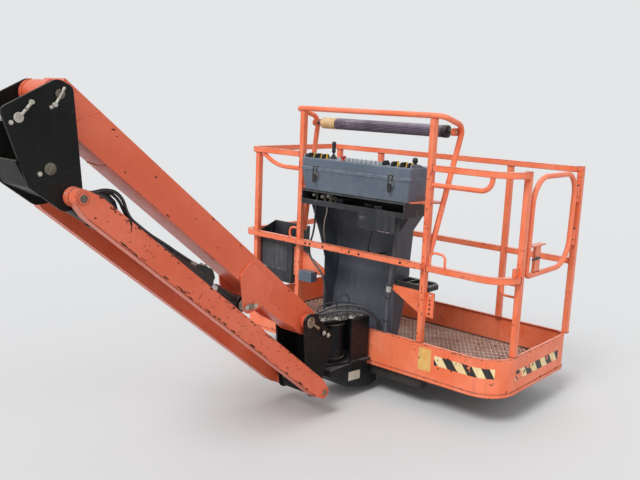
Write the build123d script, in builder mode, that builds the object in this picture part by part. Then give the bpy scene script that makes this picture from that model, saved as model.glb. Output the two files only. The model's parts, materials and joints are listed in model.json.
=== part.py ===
"""Work platform of a boom lift with its jib: tip bracket, parallel jib, rotator and railed platform.

Millimetres. X runs along the platform, Y from the boom to the platform, Z up.
The origin is the middle of the boom pin's bore, between the two plates of the tip bracket.
Everything stands as parked: jib folded down on its stop, platform square to the jib.
"""

import os
from math import atan2, cos, degrees, hypot, radians, sin

from build123d import *

os.makedirs("parts", exist_ok=True)

# Clearances
running_fit = 0.06        # radial, pin in bore
side_play = 0.5           # between faces that turn on each other
seat_gap = 0.3            # between a piece and what carries it

# Tip bracket
bracket_inside = 186      # between the two plates
bracket_plate = 12
boom_pin_radius = 18
levelling_pin = (112, -178)
levelling_pin_radius = 17
bracket_outline = (
    # corner of the plate (y, z) and its radius
    ((-66, 30), 24),
    ((148, 136), 40),
    ((208, 108), 30),
    ((245, -327), 42),
    ((160, -336), 40),
    ((30, -240), 30),
)

# Jib parallelogram, side view places (y, z)
jib_pivot = (154, 82)
jib_length = 1765
jib_slope = -38.7         # degrees, as parked
link_drop = (40, -363)    # from the tube's pivots to the links' pivots
pivot_radius = 15

# Jib tube
tube_width = 140
tube_depth = 140
tube_barrel_radius = 48
lug_along = jib_length - 418      # cylinder pin, along the tube from its pivot
lug_below = 136           # and below the tube's middle
lug_thickness = 10
lug_round = 35

# Lower links
link_depth = 100
link_thickness = 52
link_inside = 256         # between the inner faces of the two links
link_tip_round = 34
link_boss_radius = 37
link_shoulder = 60        # from the pin to where the link is full depth

# Lift cylinder
barrel_radius = 42
rod_shown = 235.67        # parked, from the barrel's end to the lug pin
gland_radius = 47
gland_length = 48
clamp_start, clamp_end = 180, 212
valve_length = 114        # block on the gland that the hose runs to
valve_top = 64
rod_radius = 20
shank_radius = 25
shank_length = 174.67     # rod end's shank, to the lug pin
port_start, port_end = 44, 72   # hose block on the barrel
port_middle = 58
eye_radius = 38
eye_width = 60
eye_gap = 6               # between the rod's eye and the bosses beside it

# Head that carries the rotator, measured from the tube's end
head_wrap = 46
head_reach = 166.54       # to the plates' rear edge
head_back_drop = (78.45, 203.45)
head_web = 12
web_reach = 120.54
web_drop = (74.45, 278.45)
lower_tube_radius = 35

# Rotator
rotator_reach = 287.54    # its axis from the tube's end
rotator_radius = 72
shaft_radius = 30
neck_width = 76
housing_drop = (70.45, 276.45)
rotator_y = 1819          # its axis where the platform is drawn

# Carrier that turns with the platform
carrier_plate = 12
carrier_top = -1062
carrier_back = 2019
carrier_cheek = 110       # outer face of each cheek from the middle
carrier_nose = 107        # nose circle's middle, forward of the rotator axis
carrier_nose_radius = 42
carrier_corner = 108
carrier_base_top = -1313

# Platform
half_length = 894         # middle of the end rails
near_rail = 2054          # y of the rail on the jib's side
far_rail = 2833
base_level = -1359
floor_level = -1307
toe_top = -1157
mid_rail_level = -751
top_rail_level = -228
rail = 32                 # square tube
toe_sheet = 4
toe_rim = 5
gate_corner = 150         # large bend between the near rail and the gate
small_corner = 60
gate_post_y = near_rail + gate_corner
corner_post_x = 826
far_post_x = 472

# Console
console_x = -20
console_half = 446        # posts on both sides of the console
guard_level = 37
guard_bar = 30
column_front = 2074
column_back = 2214
column_top = -498
column_sheet = 6
box_half_top = 372
box_half_bottom = box_half_top - 16
box_front = 1954
box_back = 2165
box_bottom = -412
box_seam = -300
box_top = -234
box_wall = 5

# Gate
gate_tube = 28
gate_low = mid_rail_level + 4
gate_high = top_rail_level - 16

tube_outer = tube_width / 2
plate_inner = bracket_inside / 2
plate_outer = plate_inner + bracket_plate
link_inner = link_inside / 2
link_outer = link_inner + link_thickness

along = (cos(radians(jib_slope)), sin(radians(jib_slope)))
link_pivot = (jib_pivot[0] + link_drop[0], jib_pivot[1] + link_drop[1])
tube_end = (jib_pivot[0] + jib_length * along[0], jib_pivot[1] + jib_length * along[1])
link_end = (tube_end[0] + link_drop[0], tube_end[1] + link_drop[1])
head_rotator_y = tube_end[0] + rotator_reach
parked_tube_end_z = -1021.55      # the level for which the platform is drawn
lug_pin = (
    jib_pivot[0] + lug_along * along[0] + lug_below * along[1],
    jib_pivot[1] + lug_along * along[1] - lug_below * along[0],
)
stroke_line = (lug_pin[0] - link_pivot[0], lug_pin[1] - link_pivot[1])
cylinder_length = hypot(*stroke_line)
cylinder_slope = degrees(atan2(stroke_line[1], stroke_line[0]))
barrel_length = cylinder_length - rod_shown
shank_start = cylinder_length - shank_length
valve_end = barrel_length + 12
valve_start = valve_end - valve_length


def side_plane(place=(0, 0), slope=0.0, x=0.0):
    """Upright plane seen from the right: its own x runs forward along the slope, its normal is +X."""
    forward = (0, cos(radians(slope)), sin(radians(slope)))
    return Plane(origin=(x, place[0], place[1]), x_dir=forward, z_dir=(1, 0, 0))


def across(path, up=(0, 0, 1)):
    """Plane square to the start of a path, for the section that is swept along it."""
    return Plane(origin=path @ 0, x_dir=up, z_dir=path % 0)


platform_place = Location((0, head_rotator_y - rotator_y, tube_end[1] - parked_tube_end_z))


def cylinder_plane(distance=0.0):
    """Plane square to the lift cylinder, at a distance along it from its base pin."""
    line = (0, stroke_line[0] / cylinder_length, stroke_line[1] / cylinder_length)
    return Plane(origin=(0, *link_pivot), z_dir=line).offset(distance)


def write(piece, name, place=None):
    """Label a finished piece, put it in its place and store it as one node."""
    solid = piece.part.moved(place) if place else piece.part
    solid.label = name
    export_step(solid, f"parts/{name}.step")


# Tip bracket: two plates cut round their pins, tied by a folded bottom plate
def bracket_plate_piece(inner_x):
    with BuildPart() as plate:
        with BuildSketch(side_plane(x=inner_x)):
            with BuildLine():
                FilletPolyline(
                    *(corner for corner, bend in bracket_outline),
                    radius=[bend for corner, bend in bracket_outline],
                    close=True,
                )
            make_face()
            Circle(boom_pin_radius, mode=Mode.SUBTRACT)
            with Locations(levelling_pin):
                Circle(levelling_pin_radius, mode=Mode.SUBTRACT)
            with Locations(jib_pivot, link_pivot):
                Circle(pivot_radius + running_fit, mode=Mode.SUBTRACT)
        extrude(amount=bracket_plate)
    return plate


for name, inner_x in (("bracket_plate_near", plate_inner), ("bracket_plate_far", -plate_outer)):
    write(bracket_plate_piece(inner_x), name)

bottom_sheet = 10
with BuildPart() as bracket_bottom:
    with BuildSketch(side_plane()):
        with BuildLine():
            Polyline((-12, -148), (34, -240), (136, -291))
            offset(amount=bottom_sheet, side=Side.LEFT)
        make_face()
    extrude(amount=plate_inner, both=True)
write(bracket_bottom, "bracket_bottom")

pin_head_radius = pivot_radius + 2
pin_head = 9


def pin(place, half_length, radius=pivot_radius, x=0.0):
    """Headed pivot pin across the jib, added to the part being built."""
    with BuildSketch(side_plane(place, x=x)) as disc:
        Circle(radius)
    extrude(disc.sketch, amount=half_length, both=True)


with BuildPart() as bracket_pins:
    pin(jib_pivot, plate_outer + 2)
    for end in (1, -1):
        with BuildSketch(side_plane(jib_pivot, x=end * plate_outer)):
            Circle(pin_head_radius)
        extrude(amount=end * pin_head)
    pin(link_pivot, link_outer + 2)
write(bracket_pins, "bracket_pins")

# Jib tube: welded box with a bearing barrel at the bracket and a round end at the head
barrel_half = plate_inner - side_play
with BuildPart() as jib_tube:
    with BuildSketch(side_plane(jib_pivot, jib_slope)):
        with Locations((jib_length / 2, 0)):
            Rectangle(jib_length, tube_depth)
        with Locations((jib_length, 0)):
            Circle(tube_depth / 2)
        Circle(tube_barrel_radius)
    extrude(amount=tube_outer, both=True)
    with BuildSketch(side_plane(jib_pivot)):
        Circle(tube_barrel_radius)
    extrude(amount=barrel_half, both=True)
    with BuildSketch(side_plane(tube_end)):
        Circle(link_boss_radius)
    extrude(amount=barrel_half, both=True)
    with BuildSketch(side_plane(jib_pivot, jib_slope)):
        with Locations((0, 0), (jib_length, 0)):
            Circle(pivot_radius + running_fit)
    extrude(amount=barrel_half + 1, both=True, mode=Mode.SUBTRACT)
write(jib_tube, "jib_tube")

# Cylinder lugs: one cheek welded on each side of the tube, with the pin's heads outside
lug_corners = ((-133, -46), (-121, 26), (74, 28), (87, -60))   # doubler on the tube's side, from the pin
lug_corner = 10
belly_strip = ((-375, -50), (-375, -70), (-325, -94), (-165, -88), (-65, -70), (-65, -50))   # from the end
with BuildPart() as cylinder_lugs:
    for side in (1, -1):
        with BuildSketch(side_plane(jib_pivot, jib_slope, x=side * tube_outer)):
            with Locations((lug_along, -lug_below)):
                Circle(lug_round)
            with Locations(*((lug_along + x, z) for x, z in lug_corners)):
                Circle(lug_corner)
            make_hull()
            with BuildLine():
                Polyline(*((jib_length + x, z) for x, z in belly_strip), close=True)
            make_face()
        extrude(amount=side * lug_thickness)
write(cylinder_lugs, "cylinder_lugs")

with BuildPart() as lug_pin_heads:
    for side in (1, -1):
        with BuildSketch(side_plane(lug_pin, x=side * (tube_outer + lug_thickness))):
            Circle(pivot_radius)
        extrude(amount=side * pin_head)
        with BuildSketch(side_plane(lug_pin, x=side * tube_outer)):
            Circle(28)
        extrude(amount=-side * (tube_outer - eye_width / 2 - eye_gap))
write(lug_pin_heads, "lug_pin_heads")


# Lower links: flat box tubes outside the plates, a boss at each end
def link_piece(side):
    link_span = hypot(link_end[0] - link_pivot[0], link_end[1] - link_pivot[1])
    boss_x = side * (plate_outer + side_play)
    with BuildPart() as link:
        with BuildSketch(side_plane(link_pivot, jib_slope, x=side * link_inner)):
            with Locations((link_span / 2, 0)):
                Rectangle(link_span - 2 * link_shoulder, link_depth)
            with Locations((0, 0), (link_span, 0)):
                Circle(link_tip_round)
            make_hull()
        extrude(amount=side * link_thickness)
        with BuildSketch(side_plane(link_pivot, jib_slope, x=boss_x)):
            with Locations((0, 0), (link_span, 0)):
                Circle(link_boss_radius)
        extrude(amount=side * (link_inner + 12) - boss_x)
        with BuildSketch(side_plane(link_pivot, jib_slope, x=boss_x)):
            with Locations((0, 0), (link_span, 0)):
                Circle(pivot_radius + running_fit)
        extrude(amount=side * (link_outer + 1) - boss_x, mode=Mode.SUBTRACT)
    return link


for name, side in (("link_near", 1), ("link_far", -1)):
    write(link_piece(side), name)

# Lift cylinder: barrel hung on the link pin, valve block on its gland, rod out to the lugs
with BuildPart() as cylinder_barrel:
    with BuildSketch(side_plane(link_pivot)):
        Circle(eye_radius)
    extrude(amount=eye_width / 2, both=True)
    with BuildSketch(cylinder_plane()):
        Circle(barrel_radius)
    extrude(amount=barrel_length)
    with BuildSketch(cylinder_plane(barrel_length - gland_length)):
        Circle(gland_radius)
    extrude(amount=gland_length)
    with BuildSketch(cylinder_plane(clamp_start)):
        Circle(gland_radius)
    extrude(amount=clamp_end - clamp_start)
    with BuildSketch(cylinder_plane(eye_radius + 20)):
        Circle(rod_radius + running_fit)
    extrude(amount=barrel_length, mode=Mode.SUBTRACT)
    with BuildSketch(side_plane(link_pivot, cylinder_slope)):
        with Locations(((port_start + port_end) / 2, port_middle - 4)):
            Rectangle(port_end - port_start, 30)
    extrude(amount=11, both=True)
    with BuildSketch(side_plane(link_pivot, cylinder_slope)):
        with BuildLine():
            FilletPolyline(
                (valve_start, 30), (valve_start, valve_top - 12), (valve_start + 34, valve_top),
                (valve_end - 30, valve_top), (valve_end, valve_top - 24), (valve_end, 27),
                (barrel_length, 30),
                radius=[8, 12, 12, 10, 2],
                close=False,
            )
            Line((barrel_length, 30), (valve_start, 30))
        make_face()
    extrude(amount=28, both=True)
    with BuildSketch(side_plane(link_pivot)):
        Circle(pivot_radius + running_fit)
    extrude(amount=barrel_radius + 1, both=True, mode=Mode.SUBTRACT)
write(cylinder_barrel, "cylinder_barrel")

piston_inset = 90
rod_thread = 60           # rod screwed into the shank of its eye
with BuildPart() as cylinder_rod:
    with BuildSketch(cylinder_plane(piston_inset)):
        Circle(rod_radius)
    extrude(amount=shank_start + rod_thread - piston_inset)
write(cylinder_rod, "cylinder_rod")

with BuildPart() as rod_end:
    with BuildSketch(side_plane(lug_pin)):
        Circle(eye_radius)
    extrude(amount=eye_width / 2, both=True)
    with BuildSketch(cylinder_plane(shank_start)):
        Circle(shank_radius)
    extrude(amount=cylinder_length - shank_start - pivot_radius - 4)
    with BuildSketch(cylinder_plane(shank_start)):
        Circle(rod_radius + running_fit)
    extrude(amount=rod_thread, mode=Mode.SUBTRACT)
    with BuildSketch(side_plane(lug_pin)):
        Circle(pivot_radius + running_fit)
    extrude(amount=eye_width / 2 + 1, both=True, mode=Mode.SUBTRACT)
write(rod_end, "rod_end")


# Head: two plates, web and lower bearing tube; the rotator is bolted behind the web
head_back_levels = (tube_end[1] - head_back_drop[0] - 8, tube_end[1] - head_back_drop[1] + 8)


def head_plate_piece(inner_x):
    with BuildPart() as plate:
        with BuildSketch(side_plane(x=inner_x)):
            with Locations(tube_end):
                Circle(head_wrap)
            with Locations(link_end):
                Circle(head_wrap - 2)
            with Locations(*((tube_end[0] + head_reach - 8, z) for z in head_back_levels)):
                Circle(8)
            make_hull()
            with Locations(tube_end):
                Circle(pivot_radius + running_fit, mode=Mode.SUBTRACT)
            with Locations(link_end):
                Circle(lower_tube_radius, mode=Mode.SUBTRACT)
        extrude(amount=bracket_plate)
    return plate


for name, inner_x in (("head_plate_near", plate_inner), ("head_plate_far", -plate_outer)):
    write(head_plate_piece(inner_x), name)

web_back = tube_end[0] + web_reach
web_top, web_bottom = (tube_end[1] - drop for drop in web_drop)
with BuildPart() as head_web_piece:
    with BuildSketch(side_plane()):
        with Locations((web_back - head_web / 2, (web_top + web_bottom) / 2)):
            Rectangle(head_web, web_top - web_bottom)
    extrude(amount=plate_inner, both=True)
    with BuildSketch(side_plane(link_end)):
        Circle(lower_tube_radius)
        Circle(pivot_radius + running_fit, mode=Mode.SUBTRACT)
    extrude(amount=plate_outer, both=True)
write(head_web_piece, "head_web")

with BuildPart() as head_pins:
    pin(tube_end, plate_outer + 2)
    for end in (1, -1):
        with BuildSketch(side_plane(tube_end, x=end * plate_outer)):
            Circle(pin_head_radius)
        extrude(amount=end * pin_head)
    pin(link_end, link_outer + 2)
write(head_pins, "head_pins")

neck_height = 150
housing_top, housing_bottom = (tube_end[1] - drop for drop in housing_drop)
neck_level = (housing_top + housing_bottom) / 2
foot = 12
with BuildPart() as rotator_housing:
    with BuildSketch(Plane.XY.offset(housing_bottom)):
        with Locations((0, head_rotator_y)):
            Circle(rotator_radius)
    extrude(amount=housing_top - housing_bottom)
    with Locations((0, (web_back + head_rotator_y) / 2, neck_level)):
        Box(neck_width, head_rotator_y - web_back, neck_height)
    with Locations((0, web_back + foot / 2, neck_level)):
        Box(2 * plate_inner - 20, foot, neck_height + 20)
    with BuildSketch(Plane.XY.offset(housing_bottom)):
        with Locations((0, head_rotator_y)):
            Circle(shaft_radius + running_fit)
    extrude(amount=housing_top - housing_bottom, mode=Mode.SUBTRACT)
write(rotator_housing, "rotator_housing")

# Carrier: C-shaped bracket clamped on the rotator's shaft, with bolted cheeks
cheek_front = rotator_y + 45
hose_block_face = 1700
cheek_bolts = ((1885, -1119), (1885, -1171), (1885, -1223))
cheek_bolt_radius = 8
column_knee = -850
column_foot_back = 2112


def carrier_outline(back):
    """Round-nosed plate that widens towards the platform."""
    with Locations((0, rotator_y - carrier_nose)):
        Circle(carrier_nose_radius)
    with Locations((-carrier_corner, carrier_back - 25), (carrier_corner, carrier_back - 25)):
        Circle(25)
    with Locations((0, back - 10)):
        Rectangle(2 * (carrier_corner + 25), 20)
    make_hull()


with BuildPart() as carrier:
    with BuildSketch(Plane.XY.offset(carrier_top - carrier_plate)):
        carrier_outline(carrier_back)
    extrude(amount=carrier_plate)
    with BuildSketch(Plane.XY.offset(carrier_base_top - carrier_plate)):
        carrier_outline(carrier_back)
    extrude(amount=carrier_plate)
    cheek_height = carrier_top - carrier_base_top
    cheek_middle = (carrier_top + carrier_base_top) / 2 - carrier_plate / 2
    for side in (1, -1):
        with BuildSketch(side_plane(x=side * carrier_cheek)):
            with Locations(((cheek_front + carrier_back) / 2, cheek_middle)):
                Rectangle(carrier_back - cheek_front, cheek_height)
            with Locations(*cheek_bolts):
                Circle(cheek_bolt_radius, mode=Mode.SUBTRACT)
        extrude(amount=-side * carrier_plate)
    with Locations((0, carrier_back - carrier_plate / 2, cheek_middle)):
        Box(2 * carrier_cheek, carrier_plate, cheek_height)
    with BuildSketch(Plane.XY.offset(carrier_base_top)):
        with Locations((0, rotator_y)):
            Circle(shaft_radius)
    extrude(amount=carrier_top - carrier_plate - carrier_base_top)
    with Locations((-16, hose_block_face - seat_gap - 10, carrier_top + 19)):
        Box(56, 20, 38)
write(carrier, "carrier", platform_place)

# Deep folded base under the carrier, and the beams that carry the floor
base_half = 104
base_lid = carrier_base_top - carrier_plate
base_end = 2121
with BuildPart() as carrier_base:
    with BuildSketch(side_plane()):
        with BuildLine():
            Polyline(
                (1706, base_lid), (2022, base_lid), (2022, base_level), (base_end, base_level),
                (base_end, -1479), (2054, -1500), (1855, -1453), (1791, -1407), (1706, -1362),
                close=True,
            )
        make_face()
    extrude(amount=base_half, both=True)
write(carrier_base, "carrier_base", platform_place)

beam_depth = 60
beam_end = 450
arm_x = 74
arm_width = 60
arm_back = 2740
with BuildPart() as support_arms:
    for x in (-arm_x, arm_x):
        with Locations((x, (base_end + arm_back) / 2, base_level - beam_depth / 2)):
            Box(arm_width, arm_back - base_end, beam_depth)
    for side in (1, -1):
        with Locations((side * (base_half + beam_end) / 2, near_rail + rail, base_level - beam_depth / 2)):
            Box(beam_end - base_half, 60, beam_depth)
    for y in (arm_back - 480, arm_back - 40):
        with Locations((0, y, base_level - 20)):
            Box(1200, 50, 40)
write(support_arms, "support_arms", platform_place)

# Platform base: floor frame, expanded metal deck and folded toe board with its rim
toe_out = rail / 2


def deck_outline(inset):
    """Plan of the platform inside the toe board's outer face, with one large corner at the gate."""
    x0, x1 = -half_length - toe_out + inset, half_length + toe_out - inset
    y0, y1 = near_rail - toe_out + inset, far_rail + toe_out - inset
    with BuildLine() as outline:
        FilletPolyline(
            (x0, y0), (x1, y0), (x1, y1), (x0, y1),
            radius=[small_corner + toe_out - inset]
            + [gate_corner + toe_out - inset]
            + [small_corner + toe_out - inset] * 2,
            close=True,
        )
    make_face(outline.line.edges())


toe_height = toe_top - base_level
rim_height = 18
flange = 18
with BuildPart() as toe_board:
    with BuildSketch(Plane.XY.offset(base_level)):
        deck_outline(0)
    extrude(amount=toe_height)
    with BuildSketch(Plane.XY.offset(base_level)):
        deck_outline(-toe_rim)
    extrude(amount=rim_height)
    with BuildSketch(Plane.XY.offset(base_level)):
        deck_outline(toe_sheet)
    extrude(amount=toe_height - toe_sheet, mode=Mode.SUBTRACT)
    with BuildSketch(Plane.XY.offset(toe_top - toe_sheet)):
        deck_outline(flange)
    extrude(amount=toe_sheet, mode=Mode.SUBTRACT)
write(toe_board, "toe_board", platform_place)

deck_sheet = 6
frame_depth = 40
frame_inset = toe_sheet + seat_gap
with BuildPart() as floor_frame:
    with BuildSketch(Plane.XY.offset(floor_level - deck_sheet - frame_depth)):
        deck_outline(frame_inset)
    extrude(amount=frame_depth)
    with BuildSketch(Plane.XY.offset(floor_level - deck_sheet - frame_depth)):
        deck_outline(frame_inset + 35)
    extrude(amount=frame_depth, mode=Mode.SUBTRACT)
    for x in (-600, -300, 0, 300, 600):
        with Locations((x, (near_rail + far_rail) / 2, floor_level - deck_sheet - frame_depth / 2)):
            Box(30, far_rail - near_rail - 30, frame_depth)
write(floor_frame, "floor_frame", platform_place)

with BuildPart() as floor_deck:
    with BuildSketch(Plane.XY.offset(floor_level - deck_sheet)):
        deck_outline(frame_inset)
    extrude(amount=deck_sheet)
write(floor_deck, "floor_deck", platform_place)

# Railing: square tube posts on the toe board, bent top rail and mid rail
post_low = toe_top + seat_gap
console_left = console_x - console_half
console_right = console_x + console_half
posts_table = (
    # x, y, top level
    (-corner_post_x, near_rail, top_rail_level - rail / 2),
    (-corner_post_x, far_rail, top_rail_level - rail / 2),
    (-far_post_x, far_rail, top_rail_level - rail / 2),
    (far_post_x, far_rail, top_rail_level - rail / 2),
    (half_length, far_rail, top_rail_level + rail / 2),
    (half_length, gate_post_y, top_rail_level + rail / 2),
    (console_left, near_rail, guard_level - guard_bar / 2),
    (console_right, near_rail, guard_level - guard_bar / 2),
)
with BuildPart() as posts:
    for x, y, top in posts_table:
        with BuildSketch(Plane.XY.offset(post_low)):
            with Locations((x, y)):
                Rectangle(rail, rail)
        extrude(amount=top - post_low)
write(posts, "posts", platform_place)

post_half = rail / 2
with BuildPart() as top_rail:
    with BuildLine() as round_path:
        FilletPolyline(
            (half_length - post_half, far_rail, top_rail_level),
            (-half_length, far_rail, top_rail_level),
            (-half_length, near_rail, top_rail_level),
            (console_left - post_half, near_rail, top_rail_level),
            radius=small_corner,
        )
    with BuildSketch(across(round_path.line)):
        Rectangle(rail, rail)
    sweep()
    with BuildLine() as gate_path:
        FilletPolyline(
            (console_right + post_half, near_rail, top_rail_level),
            (half_length, near_rail, top_rail_level),
            (half_length, gate_post_y - post_half, top_rail_level),
            radius=gate_corner - post_half - 1,
        )
    with BuildSketch(across(gate_path.line)):
        Rectangle(rail, rail)
    sweep(path=gate_path.line)
write(top_rail, "top_rail", platform_place)

bar_y = near_rail - rail - seat_gap
bar_end = console_right + 8
bar_level = mid_rail_level + 10
with BuildPart() as mid_rail:
    with BuildLine() as round_path:
        FilletPolyline(
            (half_length - post_half, far_rail, bar_level),
            (-half_length, far_rail, bar_level),
            (-half_length, bar_y, bar_level),
            (bar_end, bar_y, bar_level),
            radius=small_corner,
        )
    with BuildSketch(across(round_path.line)):
        Rectangle(rail, rail)
    sweep()
    with BuildLine() as gate_path:
        FilletPolyline(
            (console_right + post_half, near_rail, mid_rail_level),
            (half_length, near_rail, mid_rail_level),
            (half_length, gate_post_y - post_half, mid_rail_level),
            radius=gate_corner - post_half - 1,
        )
    with BuildSketch(across(gate_path.line)):
        Rectangle(rail, rail)
    sweep(path=gate_path.line)
    for x, y, top in posts_table:
        with Locations((x, y, bar_level)):
            Box(rail, rail, 3 * rail, mode=Mode.SUBTRACT)
write(mid_rail, "mid_rail", platform_place)

# Guard over the controls: bent tube with a turning roller behind it
guard_reach = 502
leg_low = -685
leg_knee = (2246, -14)
leg_foot_y = near_rail + rail + 4
hanger = 8
roller_y = 2212
roller_level = -45
roller_radius = 32
roller_half = 430
roller_pin = 9
with BuildPart() as guard_tube:
    with BuildLine() as guard_path:
        FilletPolyline(
            (console_x - console_half - 2, leg_foot_y, leg_low),
            (console_x - guard_reach, leg_knee[0], leg_knee[1]),
            (console_x - guard_reach, near_rail, guard_level),
            (console_x + guard_reach, near_rail, guard_level),
            (console_x + guard_reach, leg_knee[0], leg_knee[1]),
            (console_x + console_half + 2, leg_foot_y, leg_low),
            radius=[55, 38, 38, 55],
        )
    with BuildSketch(across(guard_path.line, up=(1, 0, 0))):
        Circle(guard_bar / 2)
    sweep()
    for side in (1, -1):
        face_x = console_x + side * (guard_reach - guard_bar / 2 - hanger + 3)
        with BuildSketch(side_plane((roller_y, roller_level), x=face_x)):
            SlotCenterToCenter(50, 40)
            Circle(roller_pin + running_fit, mode=Mode.SUBTRACT)
        extrude(amount=-side * hanger)
write(guard_tube, "guard_tube", platform_place)

with BuildPart() as guard_roller:
    with BuildSketch(side_plane((roller_y, roller_level), x=console_x)):
        Circle(roller_radius)
    extrude(amount=roller_half, both=True)
    with BuildSketch(side_plane((roller_y, roller_level), x=console_x)):
        Circle(roller_pin)
    extrude(amount=guard_reach - guard_bar / 2 - 6, both=True)
write(guard_roller, "guard_roller", platform_place)

# Hand rails of round bar beside the console, and the rings for harness lines
bar = 26
hand_level = -314
bar_top = top_rail_level - post_half
with BuildPart() as hand_rails:
    for bend, path in (
        (300, ((-796, bar_top), (-672, hand_level), (console_left - post_half, hand_level))),
        (60, ((console_right + post_half, hand_level), (780, hand_level), (780, bar_top))),
    ):
        with BuildLine() as bar_path:
            FilletPolyline(*((x, near_rail, z) for x, z in path), radius=bend)
        with BuildSketch(across(bar_path.line, up=(0, 1, 0))):
            Circle(bar / 2)
        sweep(path=bar_path.line)
    add(top_rail.part, mode=Mode.SUBTRACT)
write(hand_rails, "hand_rails", platform_place)

ring_bar = 13
ring_bend = 28
ring_low = mid_rail_level + post_half
ring_left = console_left - 84
post_left = console_left - post_half
gate_post_x = half_length - post_half
with BuildPart() as harness_rings:
    for path in (
        ((456, near_rail, ring_low), (456, near_rail, ring_low + 71),
         (546, near_rail, ring_low + 67), (546, near_rail, ring_low)),
        ((post_left, near_rail, ring_low + 64), (ring_left, near_rail, ring_low + 64),
         (ring_left, near_rail, ring_low - 4), (post_left, near_rail, ring_low - 4)),
        ((gate_post_x, gate_post_y, ring_low - 51), (gate_post_x - 80, gate_post_y, ring_low - 51),
         (gate_post_x - 80, gate_post_y, ring_low - 113), (gate_post_x, gate_post_y, ring_low - 113)),
    ):
        with BuildLine() as ring_path:
            FilletPolyline(*path, radius=ring_bend)
        with BuildSketch(Plane(origin=ring_path.line @ 0, z_dir=ring_path.line % 0)):
            Circle(ring_bar / 2)
        sweep(path=ring_path.line)
write(harness_rings, "harness_rings", platform_place)

# Console column: folded channel, open to the jib, standing on the floor and tapering down
column_outline = (
    (300, column_top), (236, -597), (226, -750), (223, floor_level),
    (-280, floor_level), (-284, -815), (-328, -690), (-400, -520), (-404, column_top),
)


def front_plane(y):
    """Upright plane seen from the jib: its own x runs along X, its normal is -Y."""
    return Plane(origin=(0, y, 0), x_dir=(1, 0, 0), z_dir=(0, -1, 0))


def column_solid(front, back_shift, side_inset):
    """Body between the column's front and its web, seen outline narrowed on both sides."""
    with BuildPart() as solid:
        with BuildSketch(side_plane()):
            with BuildLine():
                Polyline(
                    (front, column_top), (column_back - back_shift, column_top),
                    (column_back - back_shift, column_knee),
                    (column_foot_back - back_shift, floor_level), (front, floor_level),
                    close=True,
                )
            make_face()
        extrude(amount=600, both=True)
        with BuildSketch(front_plane(column_back + 10)):
            with BuildLine():
                Polyline(
                    *((x - side_inset if x > 0 else x + side_inset, z) for x, z in column_outline),
                    close=True,
                )
            make_face()
        extrude(amount=300, mode=Mode.INTERSECT)
    return solid.part


column_shell = column_solid(column_front, 0, 0)
column_hollow = column_solid(column_front - 10, column_sheet, column_sheet)
with BuildPart() as console_column:
    add(column_shell)
    add(column_hollow, mode=Mode.SUBTRACT)
write(console_column, "console_column", platform_place)

# Console shelf between the posts, with the fittings tray hung under it
shelf_top = box_bottom
shelf = 8
tray_bottom = column_top
shelf_end = guard_reach - 32.7 - guard_bar / 2 - seat_gap   # where the guard's legs pass it
shelf_legs = 2152
shelf_half = (
    (348, 1968), (shelf_end, shelf_legs - 12), (shelf_end, shelf_legs + 14), (420, 2190),
)
shelf_outline = shelf_half + tuple((-x, y) for x, y in reversed(shelf_half))
with BuildPart() as console_shelf:
    with BuildSketch(Plane.XY.offset(shelf_top - shelf)):
        with BuildLine():
            Polyline(*((console_x + x, y) for x, y in shelf_outline), close=True)
        make_face()
        for side in (1, -1):
            with Locations((console_x + side * (console_half - post_half - seat_gap - 15), near_rail)):
                Rectangle(30, 14)
    extrude(amount=shelf)
write(console_shelf, "console_shelf", platform_place)

tray_left, tray_right = -373, 342
flap_low = -584
tray_back = 2190
with BuildPart() as console_tray:
    tray_height = shelf_top - shelf - tray_bottom
    with BuildSketch(Plane.XY.offset(tray_bottom)):
        with Locations(((tray_left + tray_right) / 2, (box_front + tray_back) / 2)):
            Rectangle(tray_right - tray_left, tray_back - box_front)
    extrude(amount=tray_height)
    with Locations(((tray_left + tray_right) / 2, (box_front + tray_back) / 2 - 20, tray_bottom + 40)):
        Box(tray_right - tray_left - 12, tray_back - box_front + 20, tray_height - 12, mode=Mode.SUBTRACT)
    with Locations(((tray_left + tray_right) / 2, box_front + 3, tray_bottom + 15)):
        Box(tray_right - tray_left, 6, 30)
    with BuildSketch(front_plane(box_front)):
        with BuildLine():
            FilletPolyline(
                (44, tray_bottom + 20), (44, flap_low), (288, flap_low), (288, tray_bottom + 20),
                radius=[1, 30, 10, 1],
                close=True,
            )
        make_face()
    extrude(amount=-3)
write(console_tray, "console_tray", platform_place)

# Control box: folded lower half on the shelf, lid with all the levers, hinged at the back
box_x = -10
box_depth = box_back - box_front
hinge_y = box_back + 9
hinge_z = box_seam
hinge_pin = 4
knuckle = 7.5


def hinge_leaf(low, high, leaf_z):
    """Knuckle on the lid's hinge line, with its leaf against the box or the lid."""
    with BuildSketch(side_plane((hinge_y, hinge_z), x=low)) as leaf:
        Circle(knuckle)
        with Locations(((box_back - hinge_y) / 2 - 1, leaf_z)):
            Rectangle(hinge_y - box_back + 2, 24)
    extrude(leaf.sketch, amount=high - low)


with BuildPart() as control_box:
    with BuildSketch(Plane.XY.offset(shelf_top)):
        with Locations((box_x, (box_front + box_back) / 2)):
            RectangleRounded(2 * box_half_bottom, box_depth - 24, 14)
    with BuildSketch(Plane.XY.offset(box_seam)):
        with Locations((box_x, (box_front + box_back) / 2)):
            RectangleRounded(2 * box_half_top, box_depth, 14)
    loft()
    offset(amount=-box_wall, openings=control_box.faces().sort_by(Axis.Z)[-1])
    with BuildSketch(side_plane((hinge_y, hinge_z), x=-300)):
        Circle(hinge_pin)
    extrude(amount=580)
    for low, high in ((-300, -200), (-60, 40), (180, 280)):
        hinge_leaf(low, high, -12)
write(control_box, "control_box", platform_place)

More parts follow.
